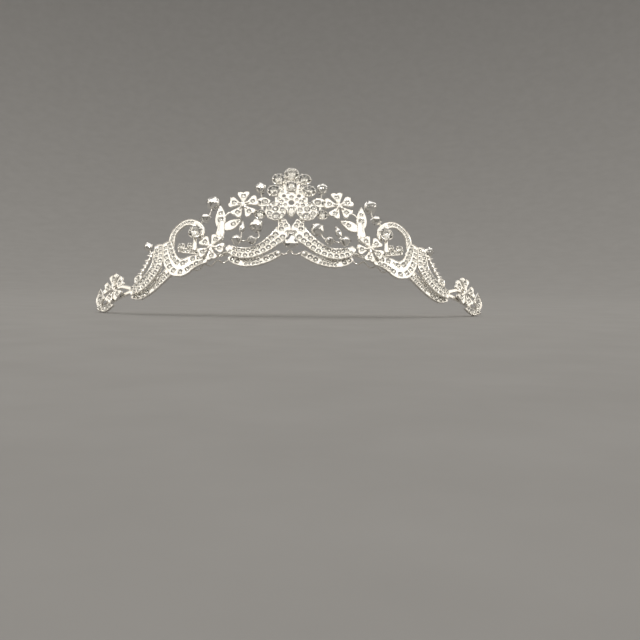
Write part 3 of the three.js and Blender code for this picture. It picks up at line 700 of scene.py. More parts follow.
def facet_faces(offsets, sides):
    """Faces between rings of facet corners. Each ring is turned by its offset, a share of one step."""
    faces = []
    for row, (lower, upper) in enumerate(zip(offsets, offsets[1:])):
        for i in range(sides):
            a, b = row * sides + i, row * sides + (i + 1) % sides
            c, d = b + sides, a + sides
            if lower == upper:
                faces.append((a, b, c, d))
            elif upper > lower:
                faces += [(a, b, d), (b, c, d)]
            else:
                faces += [(a, c, d), (a, b, c)]
    return faces


def add_coated(build, verts, faces):
    """Clear facets with a silver coating on some of them, so the crystal sparkles against a pale ground."""
    for face in faces:
        coated = build.random.random() < COATED_SHARE
        build.add([verts[i] for i in face], [range(len(face))], MIRRORED if coated else BEAD, True)


# ---------- plates, and stones in their settings


def tray(build, loop, layer, place, stones=(), piercings=(), lip=0.2, rim=0.34, dish=0.0, grid=0.0):
    """A cast plate with a rounded rim, a floor with seats for stones, and a bevelled back.

    Gives the height of its floor as a function of the place on it.
    """
    back, front = layer
    floor = front - lip
    loop = anticlockwise(clean_loop(loop))
    profile = [(0.16, back), (0.0, back + 0.2), (0.0, front - 0.3), (0.05, front - 0.1), (0.14, front),
               (rim - 0.12, front), (rim - 0.02, front - 0.06), (rim, floor)]
    build.add_skin([lift(inset(loop, distance), place, o) for distance, o in profile])

    inner = inset(loop, rim)
    seats = [circle(x, y, r * 0.98, SEAT_SIDES) for x, y, r in stones]
    pierced = [circle(x, y, r, PIERCING_SIDES) for x, y, r in piercings]

    def level(point):
        if not dish:
            return floor
        depth = max(0.0, edge_distance(point, inner))
        return floor - dish * (1 - math.exp(-depth / 0.6))

    def on_floor(points):
        return [place(p.x, p.y, level(p)) for p in points]

    points, faces = fill(inner, seats + pierced, grid_points(inner, seats + pierced, grid) if grid else ())
    build.add(on_floor(points), faces)
    for (x, y, r), seat in zip(stones, seats):
        deep = max(back + 0.1, level(Vector((x, y))) - 0.8 * r)
        build.add_cone(on_floor(seat), place(x, y, deep), FOIL)
    for hole in pierced:
        build.add_skin([on_floor(hole), lift(hole, place, back)])

    under = inset(loop, 0.16)
    dimples = [(x, y, r / 2) for x, y, r in stones
               if r > 0.45 and edge_distance(Vector((x, y)), under) > r * 0.55]
    points, faces = fill(under, [circle(x, y, r, DIMPLE_SIDES) for x, y, r in dimples] + pierced)
    build.add(lift(points, place, back), faces)
    # The dimples under the stones are lined with the painted shade metal.
    for x, y, r in dimples:
        rings = [lift(circle(x, y, r * share, DIMPLE_SIDES), place, back + rise)
                 for share, rise in ((1, 0), (0.7, 0.22))]
        build.add_skin(rings, PAINTED_SHADE)
        build.add_cone(rings[1], place(x, y, back + 0.26), PAINTED_SHADE)
    return level


def brilliant(build, x, y, radius, girdle, place, depth, turn, crown=0.34):
    """A round cut stone: a clear crown over a foiled pavilion."""
    half_step = math.pi / 8
    verts = []
    rows = ((0.56, crown * radius, 8, 0), (0.79, crown * radius * 0.56, 8, half_step),
            (1, 0.05 * radius, 16, 0), (1, -0.03 * radius, 16, 0), (0.42, -0.6 * depth, 8, half_step))
    for share, rise, count, offset in rows:
        verts += lift(circle(x, y, radius * share, count, turn + offset), place, girdle + rise)
    verts.append(place(x, y, girdle - depth))
    crown_faces = [range(8)]
    back_faces = []
    for k in range(8):
        after, before = (k + 1) % 8, (k - 1) % 8
        e0, e1, e2 = 16 + 2 * k, 17 + 2 * k, 16 + (2 * k + 2) % 16
        u0, u1, u2 = e0 + 16, e1 + 16, e2 + 16
        crown_faces += [(k, 8 + k, after), (k, 8 + before, e0, 8 + k), (8 + k, e0, e1), (8 + k, e1, e2),
                        (e0, u0, u1, e1), (e1, u1, u2, e2)]
        back_faces += [(u0, 48 + k, u1), (u1, 48 + k, u2), (u0, 48 + before, 56, 48 + k)]
    build.add(verts, crown_faces, CUT, True)
    build.add(verts, back_faces, MIRRORED, True)


def paved_plate(metal, glass, loop, layer, place, stones, headings=None, prong=0.24, **plate):
    """A cast plate with foiled stones, and shared round grains of metal that hold their edges."""
    level = tray(metal, loop, layer, place, stones, **plate)
    grains = []
    for i, (x, y, r) in enumerate(stones):
        girdle = level(Vector((x, y))) + 0.03
        depth = min(0.72 * r, girdle - layer[0] - 0.15)
        brilliant(glass, x, y, r, girdle, place, depth, glass.random.uniform(0, 0.8))
        heading = headings[i] if headings else glass.random.uniform(0, 1.5)
        for k in range(4):
            angle = heading + math.pi * (0.25 + 0.5 * k)
            reach = r + prong * 0.35
            point = Vector((x + reach * math.cos(angle), y + reach * math.sin(angle)))
            if any((point - Vector((sx, sy))).length < sr * 0.93 for sx, sy, sr in stones):
                continue
            if all((near - point).length >= prong * 1.7 for near, _ in grains):
                grains.append((point, girdle))
    for point, girdle in grains:
        centre = place(point.x, point.y, girdle + 0.05)
        outward = (place(point.x, point.y, girdle + 1) - centre).normalized()
        grain(metal, centre, prong, 7, 4, 1.15, outward)


def collar_stone(metal, glass, at, radius, layer, rise, claws=6, square=False, turn=0.3):
    """One stone in its own collar, held by claws that bend over its edge."""
    x, y = at
    base, girdle = layer[0], layer[1] + rise
    depth = min(0.74 * radius, girdle - base - 0.15)

    def ring(reach, o):
        points = []
        for p in circle(0, 0, reach, COLLAR_SIDES):
            corner = abs(math.cos(2 * (math.atan2(p.y, p.x) - turn)))
            swell = 1 + 0.13 * (1 - min(corner, 1)) ** 0.7 if square else 1
            points.append(on_wall(x + p.x * swell, y + p.y * swell, o))
        return points

    profile = [(radius * 0.72, base), (radius * 0.98, base + 0.12), (radius + 0.2, girdle - 0.42),
               (radius + 0.27, girdle - 0.16), (radius + 0.22, girdle - 0.03), (radius + 0.06, girdle + 0.02),
               (radius * 0.99, girdle - 0.06)]
    rings = [ring(reach, o) for reach, o in profile]
    metal.add_skin(rings)
    metal.add_cone(rings[-1], on_wall(x, y, girdle - depth - 0.06), FOIL)
    # The collar's bottom takes the painted shade metal.
    metal.add_cone(rings[0], on_wall(x, y, base + 0.15), PAINTED_SHADE)
    brilliant(glass, x, y, radius, girdle, on_wall, depth, turn, COLLAR_CROWN)
    claw = [(radius + 0.2, girdle - 0.7), (radius + 0.24, girdle - 0.1), (radius + 0.12, girdle + 0.17),
            (radius * 0.86, girdle + COLLAR_CROWN * radius * 0.5 + 0.13)]
    for k in range(claws):
        angle = turn + 2 * math.pi * (k + 0.5) / claws
        points = catmull([(x + r * math.cos(angle), y + r * math.sin(angle), o) for r, o in claw], 3)
        thick = [0.26 + 0.04 * i / len(points) for i in range(len(points))]
        tube(metal, [on_wall(*p) for p in points], thick, 7)


def ribbon_loop(shape, pitch=2.1, scallop=0.09, least=-math.inf, most=math.inf):
    """A ribbon's middle line, half widths and lobed outline, cut off at its least and most place."""
    line = catmull(shape["path"], 9)
    lengths = run_lengths(line)
    count = len(line) - 1
    halves = [table_value(shape["widths"], i / count) / 2 for i in range(count + 1)]
    left, right = [], []
    for i, (point, half) in enumerate(zip(line, halves)):
        direction = (line[min(i + 1, count)] - line[max(i - 1, 0)]).normalized()
        lobe = scallop * (math.cos(2 * math.pi * lengths[i] / pitch) - 1) * 0.5
        left.append(point + left_of(direction) * (half + lobe))
        right.append(point - left_of(direction) * (half + lobe))

    def end_cap(point, inner, half):
        ahead = (point - inner).normalized() * half
        bows = [polar(1, math.pi * k / 8) for k in range(1, 8)]
        return [point + left_of(ahead) * bow.x + ahead * 0.45 * bow.y for bow in bows]

    loop = right[::-1] + end_cap(line[0], line[1], halves[0]) + left + end_cap(line[-1], line[-2], halves[-1])
    loop = [Vector((min(max(p.x, least), most), p.y)) for p in loop]
    return line, halves, anticlockwise(clean_loop(loop, 0.09))


def fitting_radius(point, loop, stones, largest, margin, gap):
    """The largest stone that fits at a point, clear of the edge and of the stones around it."""
    room = [(point - Vector((x, y))).length - r - gap for x, y, r in stones]
    return min([largest, edge_distance(point, loop) - margin, *room])


def ribbon_stones(line, halves, loop, biggest=1.02, margin=0.42, end=1.0):
    """Rows of stones down a ribbon: one row where it is narrow, two staggered rows where it is wide."""
    lengths = run_lengths(line)
    stones, headings = [], []
    distance, beat = 0.75, 0
    while distance < lengths[-1] * end:
        i = next(k for k in range(len(line) - 1) if lengths[k + 1] >= distance)
        direction = (line[i + 1] - line[i]).normalized()
        point = line[i].lerp(line[i + 1], (distance - lengths[i]) / max(lengths[i + 1] - lengths[i], 1e-9))
        room = halves[i] - margin
        if 2 * halves[i] < ONE_ROW_BELOW:
            distance += 2 * max(min(biggest, room), 0.55) + 0.14
        else:
            point = point + left_of(direction) * (room * 0.52 * (1 if beat % 2 else -1))
            distance += max(min(biggest, room / 2), 0.6) + 0.07
            beat += 1
        radius = fitting_radius(point, loop, stones, biggest, margin - 0.02, 0.09)
        if radius > 0.42:
            stones.append((point.x, point.y, radius))
            headings.append(math.atan2(direction.y, direction.x))
    return stones, headings


# ---------- turning builds into pieces

BODY_OF = {}
for body_name, members in frame["record"]["behaviour"]["bodies"].items():
    for member in members:
        BODY_OF[member] = body_name


def mesh_of(name, build, materials):
    """Joins the parts of a build where they touch, and turns their faces outwards."""
    mesh = bpy.data.meshes.new(name)
    mesh.from_pydata([tuple(v) for v in build.verts], [], build.faces)
    for material in materials:
        mesh.materials.append(material)
    mesh.polygons.foreach_set("material_index", build.mats)
    mesh.polygons.foreach_set("use_smooth", [not flat for flat in build.flat])
    work = bmesh.new()
    work.from_mesh(mesh)
    bmesh.ops.remove_doubles(work, verts=work.verts, dist=1e-7)
    bmesh.ops.recalc_face_normals(work, faces=work.faces)
    work.to_mesh(mesh)
    work.free()
    mesh.set_sharp_from_angle(angle=math.radians(38))
    mesh.validate()
    mesh.update()
    return mesh


def finish_piece(name, build, node, slot, replaces=True):
    piece = bpy.data.objects.new(name, mesh_of(name, build, MATERIALS[slot]))
    bpy.context.scene.collection.objects.link(piece)
    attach(piece, BODY_OF[node])
    if replaces:
        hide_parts(node)


def on_half(name, data, label):
    return {**data, **LEFT_HALF.get(name, {})} if label == "left" else data


def emit(name, label, metal, glass, metal_slot="rhodium_casting"):
    """Mirrors the builds for the left half, and makes the metal piece and the stones on it."""
    node = f"{name}_{label}"
    if label == "left":
        metal.mirror()
        glass.mirror()
    if metal.verts:
        finish_piece(f"{node}_metal", metal, node, metal_slot)
    if glass.verts:
        finish_piece(f"{node}_stones", glass, node, "crystal", replaces=not metal.verts)


# ---------- ribbons and leaves


RIBBONS = [
    ("centre_ribbon", CENTRE_RIBBON, MIDDLE, {"least": JOINT_GAP / 2}),
    ("centre_strand", CENTRE_STRAND, LOWER, {}),
    ("side_ribbon", SIDE_RIBBON, MIDDLE, {"most": SIDE_JOINT - JOINT_GAP / 2}),
    ("outer_ribbon", OUTER_RIBBON, MIDDLE, {"least": SIDE_JOINT + JOINT_GAP / 2}),
    ("outer_strand", OUTER_STRAND, LOWER, {}),
]


def make_ribbons(label, seed):
    for name, shape, layer, limits in RIBBONS:
        metal, glass = Build(seed), Build(seed + 1)
        line, halves, loop = ribbon_loop(shape, **limits)
        paved_plate(metal, glass, loop, layer, on_wall, *ribbon_stones(line, halves, loop))
        if name == "centre_strand":
            s, h = line[0]
            grain(metal, on_wall(s + 0.1, h + 0.1, layer[1] - 0.1), 0.95, 20, 10, 0.6, outward_at(s, h))
        emit(name, label, metal, glass)


def leaf_loop(start, end, width, steps=14):
    spine = end - start
    side = left_of(spine).normalized() * (width / 2)
    one, other = [], []
    for i in range(steps + 1):
        t = i / steps
        swell = math.sin(math.pi * t ** 0.85) * 0.97 + 0.03
        one.append(start + spine * t + side * swell)
        other.append(start + spine * t - side * swell)
    return anticlockwise(one + other[::-1])


def leaf(metal, glass, base, tip, width, places, layer=LOWER):
    """A leaf with stones down its middle, each at a share of its length and no larger than given."""
    start, end = Vector(base), Vector(tip)
    loop = leaf_loop(start, end, width)
    stones = []
    for share, largest in places:
        point = start.lerp(end, share)
        radius = fitting_radius(point, loop, stones, largest, 0.34, 0.08)
        if radius > 0.32:
            stones.append((point.x, point.y, radius))
    heading = math.atan2(tip[1] - base[1], tip[0] - base[0])
    paved_plate(metal, glass, loop, layer, on_wall, stones, [heading] * len(stones), 0.2,
                lip=0.12, rim=0.26, dish=0.08, grid=0.5)


def make_leaves(label, seed):
    metal, glass = Build(seed), Build(seed + 2)
    leaf(metal, glass, *LEAF_SPRAY["leaf"])
    leaf(metal, glass, *LEAF_SPRAY["branch"])
    stem = wall_line(LEAF_SPRAY["stem"], 0.95)
    wide = LEAF_SPRAY["stem_width"] / 2
    thick = [wide * (1 - 0.35 * abs(i / (len(stem) - 1) - 0.4)) for i in range(len(stem))]
    tube(metal, stem, thick, 16, squash=0.6, up=outward_at(*LEAF_SPRAY["stem"][1]))
    collar_stone(metal, glass, LEAF_SPRAY["stem"][0], LEAF_SPRAY["cup"] - 0.4, LOWER, 0.1, 5)
    tube(metal, wall_line(LEAF_SPRAY["tendril"], [1, 1.3, 1.35, 1.35]), 0.38)
    emit("leaf_spray", label, metal, glass)

    metal, glass = Build(seed), Build(seed + 3)
    half = polar(LEAF_LINK["length"] / 2, math.radians(LEAF_LINK["turn"]))
    middle = Vector(LEAF_LINK["at"])
    leaf(metal, glass, middle - half, middle + half, LEAF_LINK["width"], LEAF_LINK["stones"])
    collar_stone(metal, glass, LEAF_LINK["cup_at"], LEAF_LINK["cup"] - 0.3, LOWER, 0.25)
    tube(metal, wall_line(LEAF_LINK["link"], 0.75), 0.55, squash=0.8)
    add_pin(metal, "top_bead", label)
    emit("leaf_link", label, metal, glass)

    metal, glass = Build(seed), Build(seed + 4)
    for shape in END_LEAVES:
        leaf(metal, glass, *shape, END_LEAF_STONES, ENDS)
    at, radius = END_CUP
    collar_stone(metal, glass, at, radius - 0.25, ENDS, 0.1, 5)
    emit("end_leaf_pair", label, metal, glass)


# ---------- flowers, discs and rosette


def petal_loop(length, angle):
    right = [Vector((along, -across)) for along, across in PETAL_HALF]
    left = [Vector(p) for p in reversed(PETAL_HALF[:-1])]
    turn = Matrix.Rotation(angle, 2)
    return anticlockwise([turn @ (p * length) for p in catmull(right + left, 2)])


def flower(metal, glass, data):
    place = flat_place(*data["at"])
    back, front = data["layer"]
    for petal in range(PETAL_COUNT):
        angle = math.radians(data["first"] + 360 * petal / PETAL_COUNT)
        share, radius = PETAL_STONE
        stone = (*polar(share * data["petal"], angle), radius)
        paved_plate(metal, glass, petal_loop(data["petal"], angle), data["layer"], place, [stone], [angle],
                    lip=0.12, rim=0.26, dish=0.07, grid=0.5)
        spoke = ((0.4, 0.1), (1.0, 0.12), (1.7, 0.02), (2.4, -0.2))
        spoke = [place(*polar(reach, angle), front + rise) for reach, rise in spoke]
        tube(metal, spoke, [0.5, 0.46, 0.4, 0.3])
    hub = ((0.9, back), (1, front - 0.1), (0.8, front + 0.12))
    metal.add_solid([lift(circle(0, 0, HUB_RADIUS * share, 20), place, o) for share, o in hub])
    outward = (place(0, 0, 1) - place(0, 0, 0)).normalized()
    grain(metal, place(0, 0, front + 0.1), HUB_RADIUS * 0.62, 16, 8, 0.75, outward)


def make_flowers(label, seed):
    for name, shape in FLOWERS.items():
        metal, glass = Build(seed), Build(seed + 5)
        flower(metal, glass, on_half(name, shape, label))
        if name == "end_flower":
            tray(metal, ribbon_loop(END_NECK, scallop=0)[2], LOWER, on_wall, lip=0.1, rim=0.3)
        emit(name, label, metal, glass)


def make_discs(label, seed):
    place = flat_place(*DISC["at"])
    loop = [p * (1 + 0.022 * (math.cos(DISC["lobes"] * math.atan2(p.y, p.x) + 0.9) - 1))
            for p in circle(0, 0, DISC["radius"], 56)]
    metal, glass = Build(seed), Build(seed + 6)
    paved_plate(metal, glass, loop, UPPER, place, DISC_STONES, rim=0.3, lip=0.18)
    emit("cluster_disc", label, metal, glass)


def make_rosette():
    metal, plate_glass = Build(5), Build(6)
    right = [Vector(p) for p in SPINE_OUTLINE]
    left = [Vector((-p.x, p.y)) for p in right[-2:0:-1]]
    stones = [(sign * x, y, r) for x, y, r in SPINE_STONES for sign in (1, -1) if x or sign > 0]
    paved_plate(metal, plate_glass, catmull(right + left, 3, closed=True), MIDDLE, on_wall, stones,
                piercings=SPINE_PIERCINGS, rim=0.26)
    centre, centre_radius = ROSETTE_CENTRE
    glass = {"centre": Build(7)}
    collar_stone(metal, glass["centre"], centre, centre_radius - 0.1, MIDDLE, 0.55, 4, True, 0.0)
    for name, ((s, h), radius) in ROSETTE_STONES.items():
        for sign, label in ((1, "right"), (-1, "left")) if s else ((1, ""),):
            key = f"{name}_{label}" if label else name
            glass[key] = Build(8 + sign)
            spot = (s * sign, h)
            collar_stone(metal, glass[key], spot, radius, MIDDLE, 0.55, 6, turn=0.4 * sign)
            middle = (Vector(centre) + Vector(spot)) / 2
            tube(metal, wall_line([centre, middle, spot], 2.05), 0.62, squash=0.7)
            grain(metal, on_wall(*Vector(centre).lerp(Vector(spot), 0.47), 2.75), 0.45, 10, 6)
    finish_piece("rosette_frame_metal", metal, "rosette_frame", "rhodium_casting")
    finish_piece("rosette_frame_stones", plate_glass, "rosette_frame", "crystal", replaces=False)
    for key, build in glass.items():
        finish_piece(f"rosette_stone_{key}_cut", build, f"rosette_stone_{key}", "crystal")


def make_keystone():
    place = flat_place(*KEYSTONE["at"])
    wide, tall = KEYSTONE["half_width"], KEYSTONE["half_height"]
    seat = MIDDLE[1] + 0.1
    verts = []
    for share, rise, turn in ((0.5, 1.15, 0), (0.8, 0.92, math.pi / 12), (1, 0.5, 0), (1, 0.42, 0)):
        verts += [place(wide * p.x, tall * p.y, seat + rise) for p in circle(0, 0, share, 12, turn)]
    verts.append(place(0, 0, seat + 0.02))
    clear, foiled = [range(12)], []
    for k in range(12):
        after, before = (k + 1) % 12, (k - 1) % 12
        clear += [(k, 12 + k, after), (k, 12 + before, 24 + k, 12 + k), (12 + k, 24 + k, 24 + after),
                  (24 + k, 36 + k, 36 + after, 24 + after)]
        foiled.append((36 + after, 36 + k, 48))
    build = Build(9)
    build.add(verts, clear, CUT, True)
    build.add(verts, foiled, MIRRORED, True)
    finish_piece("keystone_cut", build, "keystone", "crystal")


# ---------- wires, band and beads


def bead_axis(bead):
    foot = on_wall(*bead["foot"], bead["out"])
    centre = on_wall(*bead["at"], bead["out"])
    return foot, centre, (centre - foot).normalized()


def add_pin(metal, name, label):
    """Twisted stem up to the bead, a straight core through its bore, and a small round head."""
    bead = on_half(name, BEADS[name], label)
    foot, centre, direction = bead_axis(bead)
    millimetre = direction * MM
    half = bead["height"] / 2
    stem_end = centre - millimetre * (half + 0.1)
    twisted(metal, [foot - millimetre * 0.2, foot.lerp(stem_end, 0.5), stem_end], PIN_STEM_RADIUS)
    tube(metal, [stem_end - millimetre * 0.4, centre, centre + millimetre * (half + 0.3)], PIN_CORE_RADIUS)
    grain(metal, centre + millimetre * (half + 0.4), PIN_HEAD_RADIUS, 12, 7, 0.8, direction)


def make_beads(label, seed):
    """Cut beads with a bore. Triangular facets run from end to end."""
    for name, bead in BEADS.items():
        _, centre, axis = bead_axis(on_half(name, bead, label))
        across = axis.orthogonal().normalized()
        other = axis.cross(across)
        radius, half, bore = bead["radius"], bead["height"] / 2, BEAD_BORE * 0.8
        rows = [(bore, -0.98, 0), (radius * 0.6, -0.94, 0), (radius, -0.26, 0.5), (radius, 0.26, 0),
                (radius * 0.6, 0.94, 0.5), (bore, 0.98, 0.5)]
        verts = []
        for reach, share, offset in rows:
            for p in circle(0, 0, reach, BEAD_SIDES, 2 * math.pi * offset / BEAD_SIDES):
                verts.append(centre + (across * p.x + other * p.y + axis * half * share) * MM)
        faces = facet_faces([offset for _, _, offset in rows], BEAD_SIDES)
        last = len(verts) - BEAD_SIDES
        for i in range(BEAD_SIDES):
            after = (i + 1) % BEAD_SIDES
            faces += [(after, i, last + i), (after, last + i, last + after)]
        glass = Build(seed)
        add_coated(glass, verts, faces)
        emit(name, label, Build(), glass)


def bicone(build, s, h, out, radius, sides=8):
    """A small cut crystal threaded on a wire."""
    place = flat_place(s, h)
    rows = ((0.25, -0.9), (0.62, -0.62), (1.0, -0.08), (1.0, 0.08), (0.62, 0.62), (0.25, 0.9))
    verts = []
    for share, y in rows:
        verts += [place(p.x, radius * y, out + p.y) for p in circle(0, 0, radius * share, sides, 0.3)]
    last = len(verts) - sides
    add_coated(build, verts, ring_faces(sides, len(rows)) + [range(sides), range(last, last + sides)])


def make_bridge():
    metal = Build(3)
    tube(metal, wall_line(BRIDGE_PATH, 0.5, 7), BRIDGE_RADIUS, 10)
    finish_piece("strand_bridge_wire_metal", metal, "strand_bridge_wire", "rhodium_wire")


def make_wires(label, seed):
    metal = Build(seed)
    tube(metal, wall_line(PIN_WAVE, PIN_WAVE_OUT, 9), PIN_WAVE_RADIUS, 10)
    emit("pin_loops", label, metal, Build(), "rhodium_wire")

    metal, glass = Build(seed), Build(seed)
    out = SPRIG["out"]
    twisted(metal, wall_line(SPRIG["rail"], out, 8), SPRIG["rail_radius"])
    for name, stem in SPRIG["stems"].items():
        twisted(metal, wall_line(stem, (out, (out + SPRIG_OUT) / 2, SPRIG_OUT)), STEM_RADIUS)
        add_pin(metal, name, label)
    for s, h, radius in SPRIG["ends"]:
        bicone(glass, s, h, out, radius)
        tube(metal, [on_wall(s, h - radius * 0.95, out), on_wall(s, h + radius * 0.95, out)], 0.2)
    emit("sprig_wire", label, metal, glass, "rhodium_wire")


def make_arch_and_shelf(label, seed):
    metal, glass = Build(seed), Build(seed + 7)
    line, halves, loop = ribbon_loop(SCROLL_ARCH, pitch=1.5, scallop=0.07)
    stones, headings = ribbon_stones(line, halves, loop, biggest=0.66, margin=0.3, end=0.66)
    paved_plate(metal, glass, loop, LOWER, on_wall, stones, headings, 0.19, rim=0.24)
    crescent = line[int(len(line) * 0.68):-2]
    shares = [i / (len(crescent) - 1) for i in range(len(crescent))]
    thick = [0.85 * math.sin(math.pi * (0.1 + 0.85 * share)) + 0.2 for share in shares]
    tube(metal, lift(crescent, on_wall, 1.05), thick, 14, squash=0.6, up=outward_at(33, 16))
    twisted(metal, wall_line(RONDELLE_WIRE["path"], WIRE_OUT), STEM_RADIUS)
    add_pin(metal, "rondelle_bead", label)
    s, h, radius = RONDELLE_WIRE["bicone"]
    bicone(glass, s, h, WIRE_OUT, radius, 6)
    emit("scroll_arch", label, metal, glass)

    metal, glass, stone = Build(seed), Build(seed + 8), Build(seed + 9)
    line, halves, loop = ribbon_loop(SHELF_STRAND, scallop=0.05)
    stones, headings = ribbon_stones(line, halves, loop, biggest=0.9, margin=0.36)
    paved_plate(metal, glass, loop, LOWER, on_wall, stones, headings, rim=0.28)
    stem = wall_line(ARCH_STONE["stem"], 1.4)
    thick = [0.72 + 0.4 * (i / (len(stem) - 1)) ** 2 for i in range(len(stem))]
    tube(metal, stem, thick, 14, squash=0.7, up=outward_at(36, 11))
    for s, h, radius in SHELF_STONES:
        collar_stone(metal, glass, (s, h), radius, LOWER, 0.05, 4)
    collar_stone(metal, stone, ARCH_STONE["at"], ARCH_STONE["radius"], MIDDLE, 0.55)
    emit("shelf_strand", label, metal, glass)
    emit("arch_stone", label, Build(), stone)


def make_twig(label, seed):
    metal, glass = Build(seed), Build(seed + 9)
    path = catmull([(s, h, WIRE_OUT) for s, h in THORN_TWIG["path"]], 6)
    thick = [0.68 - 0.1 * i / len(path) + 0.08 * math.sin(i * 1.7) for i in range(len(path))]
    tube(metal, [on_wall(*p) for p in path], thick, 10)
    for s, h, tip_s, tip_h in THORN_TWIG["thorns"]:
        thorn = [(s, h), ((s + tip_s) / 2, (h + tip_h) / 2 - 0.1), (tip_s, tip_h)]
        tube(metal, [on_wall(*p, WIRE_OUT) for p in thorn], [0.52, 0.4, 0.1])
    for i, point in enumerate(path[2:-8:2]):
        lean = 0.35 * math.sin(i * 2.1)
        tip = point + Vector((0.9 + lean * 0.4, 0.75 - lean, 0.5 * math.cos(i * 1.3)))
        tube(metal, [on_wall(*point), on_wall(*tip)], [0.32, 0.09], 6)
    leaf(metal, glass, *THORN_TWIG["leaf"], layer=(0.2, 1.2))
    tube(metal, wall_line(THORN_TWIG["bead_link"], WIRE_OUT), 0.3)
    add_pin(metal, "twig_bead", label)
    emit("thorn_twig", label, metal, glass)


def make_band():
    """A flat strip bent along the arc, with a straight tongue and an eye at each end."""
    back, front = BAND_LAYER
    middle, deep, tall = (back + front) / 2, (front - back) / 2, BAND_HEIGHT / 2
    section = []
    for quarter, (x, y) in enumerate(((1, 1), (-1, 1), (-1, -1), (1, -1))):
        corner = Vector((x * (deep - BAND_ROUNDING), y * (tall - BAND_ROUNDING)))
        section += [corner + polar(BAND_ROUNDING, math.radians(90 * quarter + 30 * k)) for k in range(4)]
    end = flat_place(*BAND_PATH[-1])
    rings = [[on_wall(s, h + p.y, middle + p.x) for p in section] for s, h in catmull(BAND_PATH, 7)]
    rings += [[end(BAND_END_LENGTH * k / 6, p.y, middle + p.x) for p in section] for k in range(1, 7)]
    metal = Build(4)
    metal.add_solid([mirrored(ring) for ring in rings[:0:-1]] + rings)

    def eye(turn, angle):
        reach = (EYE_RADIUS + EYE_BORE) / 2 + (EYE_RADIUS - EYE_BORE) / 2 * math.cos(angle)
        p = polar(reach, turn)
        return end(BAND_END_LENGTH + 1 + p.x, p.y, middle + deep * math.sin(angle))

    rings = torus_rings(eye, 32, 12)
    metal.add_skin(rings)
    metal.add_skin([mirrored(ring) for ring in rings])
    finish_piece("base_band_metal", metal, "base_band", "rhodium_casting")


# ---------- the hanging drop


def make_drop():
    s, h = DROP["pivot"]
    out, pin, foot = DROP["pivot_out"], DROP["pin_half"], MIDDLE[1] + 0.1
    place = flat_place(s, h)
    leg = [(pin - 0.3, 0, out), (pin, 0, out - 0.35), (pin, 0, foot + 0.5), (pin + 0.05, 0, foot)]
    shape = [(-x, y, o) for x, y, o in reversed(leg)] + [(0, 0, out)] + leg
    metal = Build(12)
    tube(metal, [place(*p) for p in catmull(shape, 4)], DROP["pin_radius"], 10)
    finish_piece("drop_hook_metal", metal, "drop_hook", "rhodium_wire")

    pivot = on_wall(s, h, out)

    def hanging(x, y, z):
        return pivot + Vector((x, y, z)) * MM

    def bail(turn, angle):
        bore, rim = DROP["ring_bore"], DROP["ring_radius"]
        p = polar((bore + rim) / 2 + (rim - bore) / 2 * math.cos(angle), turn)
        return hanging(0.25 * math.sin(angle), p.x, p.y)

    metal = Build(13)
    metal.add_skin(torus_rings(bail, 24, 8))
    cap, top = -DROP["cap_top"], -DROP["crystal_top"]
    rings = []
    profile = [(0.3, cap), (0.55, cap - 0.12), (0.72, cap - 0.34), (0.98, top - 0.02), (0.92, top - 0.1),
               (0.5, top)]
    for reach, z in profile:
        lobed = [p * (1 + 0.05 * math.cos(8 * math.atan2(p.y, p.x))) for p in circle(0, 0, reach, 24)]
        rings.append([hanging(p.x, p.y, z) for p in lobed])
    metal.add_skin(rings)
    metal.add_cap(rings[0])
    finish_piece("drop_bail_metal", metal, "drop_bail", "rhodium_wire")

    radius, height, sides = DROP["radius"], DROP["height"], DROP["sides"]
    rows = [(0.16, 0, 0), (0.5, 0.14, 0.5), (0.84, 0.4, 0), (1, 0.66, 0.5), (0.8, 0.84, 0), (0.42, 0.97, 0.5)]
    verts = []
    for share, down, offset in rows:
        ring = circle(0, 0, radius * share, sides, 2 * math.pi * offset / sides)
        verts += [hanging(p.x, p.y, top - height * down) for p in ring]
    last, tip = len(verts) - sides, len(verts)
    verts.append(hanging(0, 0, top - height))
    faces = [range(sides)] + facet_faces([offset for _, _, offset in rows], sides)
    faces += [(last + i, tip, last + (i + 1) % sides) for i in range(sides)]
    glass = Build(14)
    add_coated(glass, verts, faces)
    finish_piece("crystal_drop_cut", glass, "crystal_drop", "crystal")


# ---------- stage and lights


def make_stage():
    """A pale floor that curves up into a low wall all round, far from the tiara."""
    low = cad_box[0].z - 0.0002
    flat, bowl, steps = 0.42, 1.3, 24
    profile = [(0.2, 0.0), (flat, 0.0)]
    for k in range(1, steps + 1):
        angle = math.radians(66 * k / steps)
        profile.append((flat + bowl * math.sin(angle), bowl * (1 - math.cos(angle))))
    rings = [[(p.x, p.y, low + rise) for p in circle(0, 0.015, radius, 96)] for radius, rise in profile]
    build = Build()
    build.add_cone(rings[0], (0, 0.015, low))
    build.add_skin(rings)
    floor = bpy.data.objects.new("floor", mesh_of("floor", build, [floor_material()]))
    bpy.context.scene.collection.objects.link(floor)


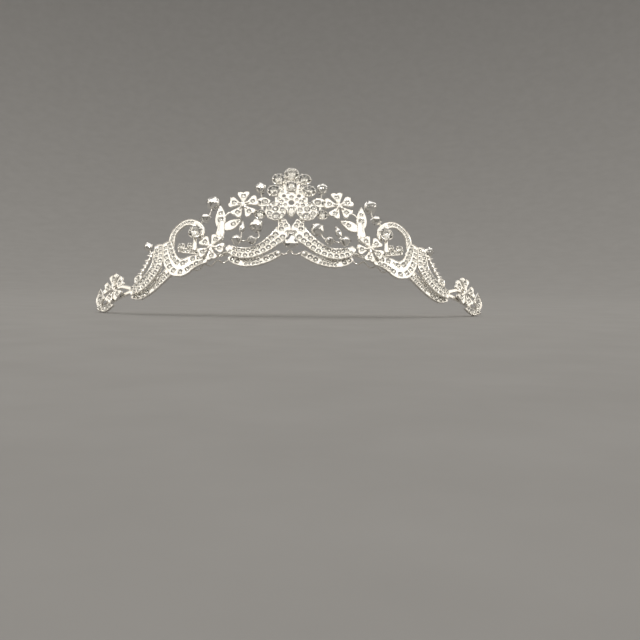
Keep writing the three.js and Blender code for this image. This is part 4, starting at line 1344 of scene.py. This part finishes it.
def softbox(name, at, size, radiance, colour, lights_floor=False):
    """A softbox aimed at the tiara. All but one only show as reflections, so the floor stays even."""
    data = bpy.data.lights.new(name, "AREA")
    data.shape = "RECTANGLE"
    data.size, data.size_y = size
    data.energy = radiance * math.pi * size[0] * size[1]
    data.color = colour
    light = bpy.data.objects.new(name, data)
    light.location = at
    light.rotation_mode = "QUATERNION"
    light.rotation_quaternion = (Vector(at) - Vector((0, 0.01, 0.005))).to_track_quat("Z", "Y")
    light.visible_camera = False
    light.visible_diffuse = lights_floor
    bpy.context.scene.collection.objects.link(light)


def make_lights():
    world = bpy.data.worlds.new("studio")
    world.use_nodes = True
    background = world.node_tree.nodes["Background"]
    background.inputs["Color"].default_value = (1.0, 0.985, 0.96, 1)
    background.inputs["Strength"].default_value = 0.27
    bpy.context.scene.world = world
    bpy.context.scene.view_settings.view_transform = "Standard"
    warm, neutral = (1.0, 0.955, 0.87), (1.0, 0.975, 0.93)
    softbox("overhead", (0, 0.1, 1.1), (1.7, 1.1), 0.95, neutral, lights_floor=True)
    softbox("front_top", (0, -0.62, 0.64), (1.9, 0.8), 1.02, warm)
    softbox("left_spark", (-0.5, -0.85, 0.42), (0.13, 0.13), 26, neutral)
    softbox("right_spark", (0.42, -0.9, 0.5), (0.12, 0.12), 26, neutral)
    softbox("right_side", (0.94, -0.02, 0.5), (1.0, 0.66), 1.15, warm)
    softbox("left_side", (-0.94, -0.02, 0.5), (1.0, 0.66), 1.15, warm)
    softbox("back_left", (-0.5, 0.85, 0.6), (0.5, 0.3), 2.0, neutral)
    softbox("back_right", (0.55, 0.8, 0.55), (0.3, 0.3), 2.0, neutral)


# ---------- everything


def on_both_halves(make_half):
    for label, seed in SEEDS.items():
        make_half(label, seed)


for make_half in (make_ribbons, make_leaves, make_flowers, make_discs):
    on_both_halves(make_half)
make_rosette()
make_keystone()
on_both_halves(make_beads)
make_bridge()
for make_half in (make_wires, make_arch_and_shelf, make_twig):
    on_both_halves(make_half)
make_band()
make_drop()
make_stage()
make_lights()

bpy.context.view_layer.update()
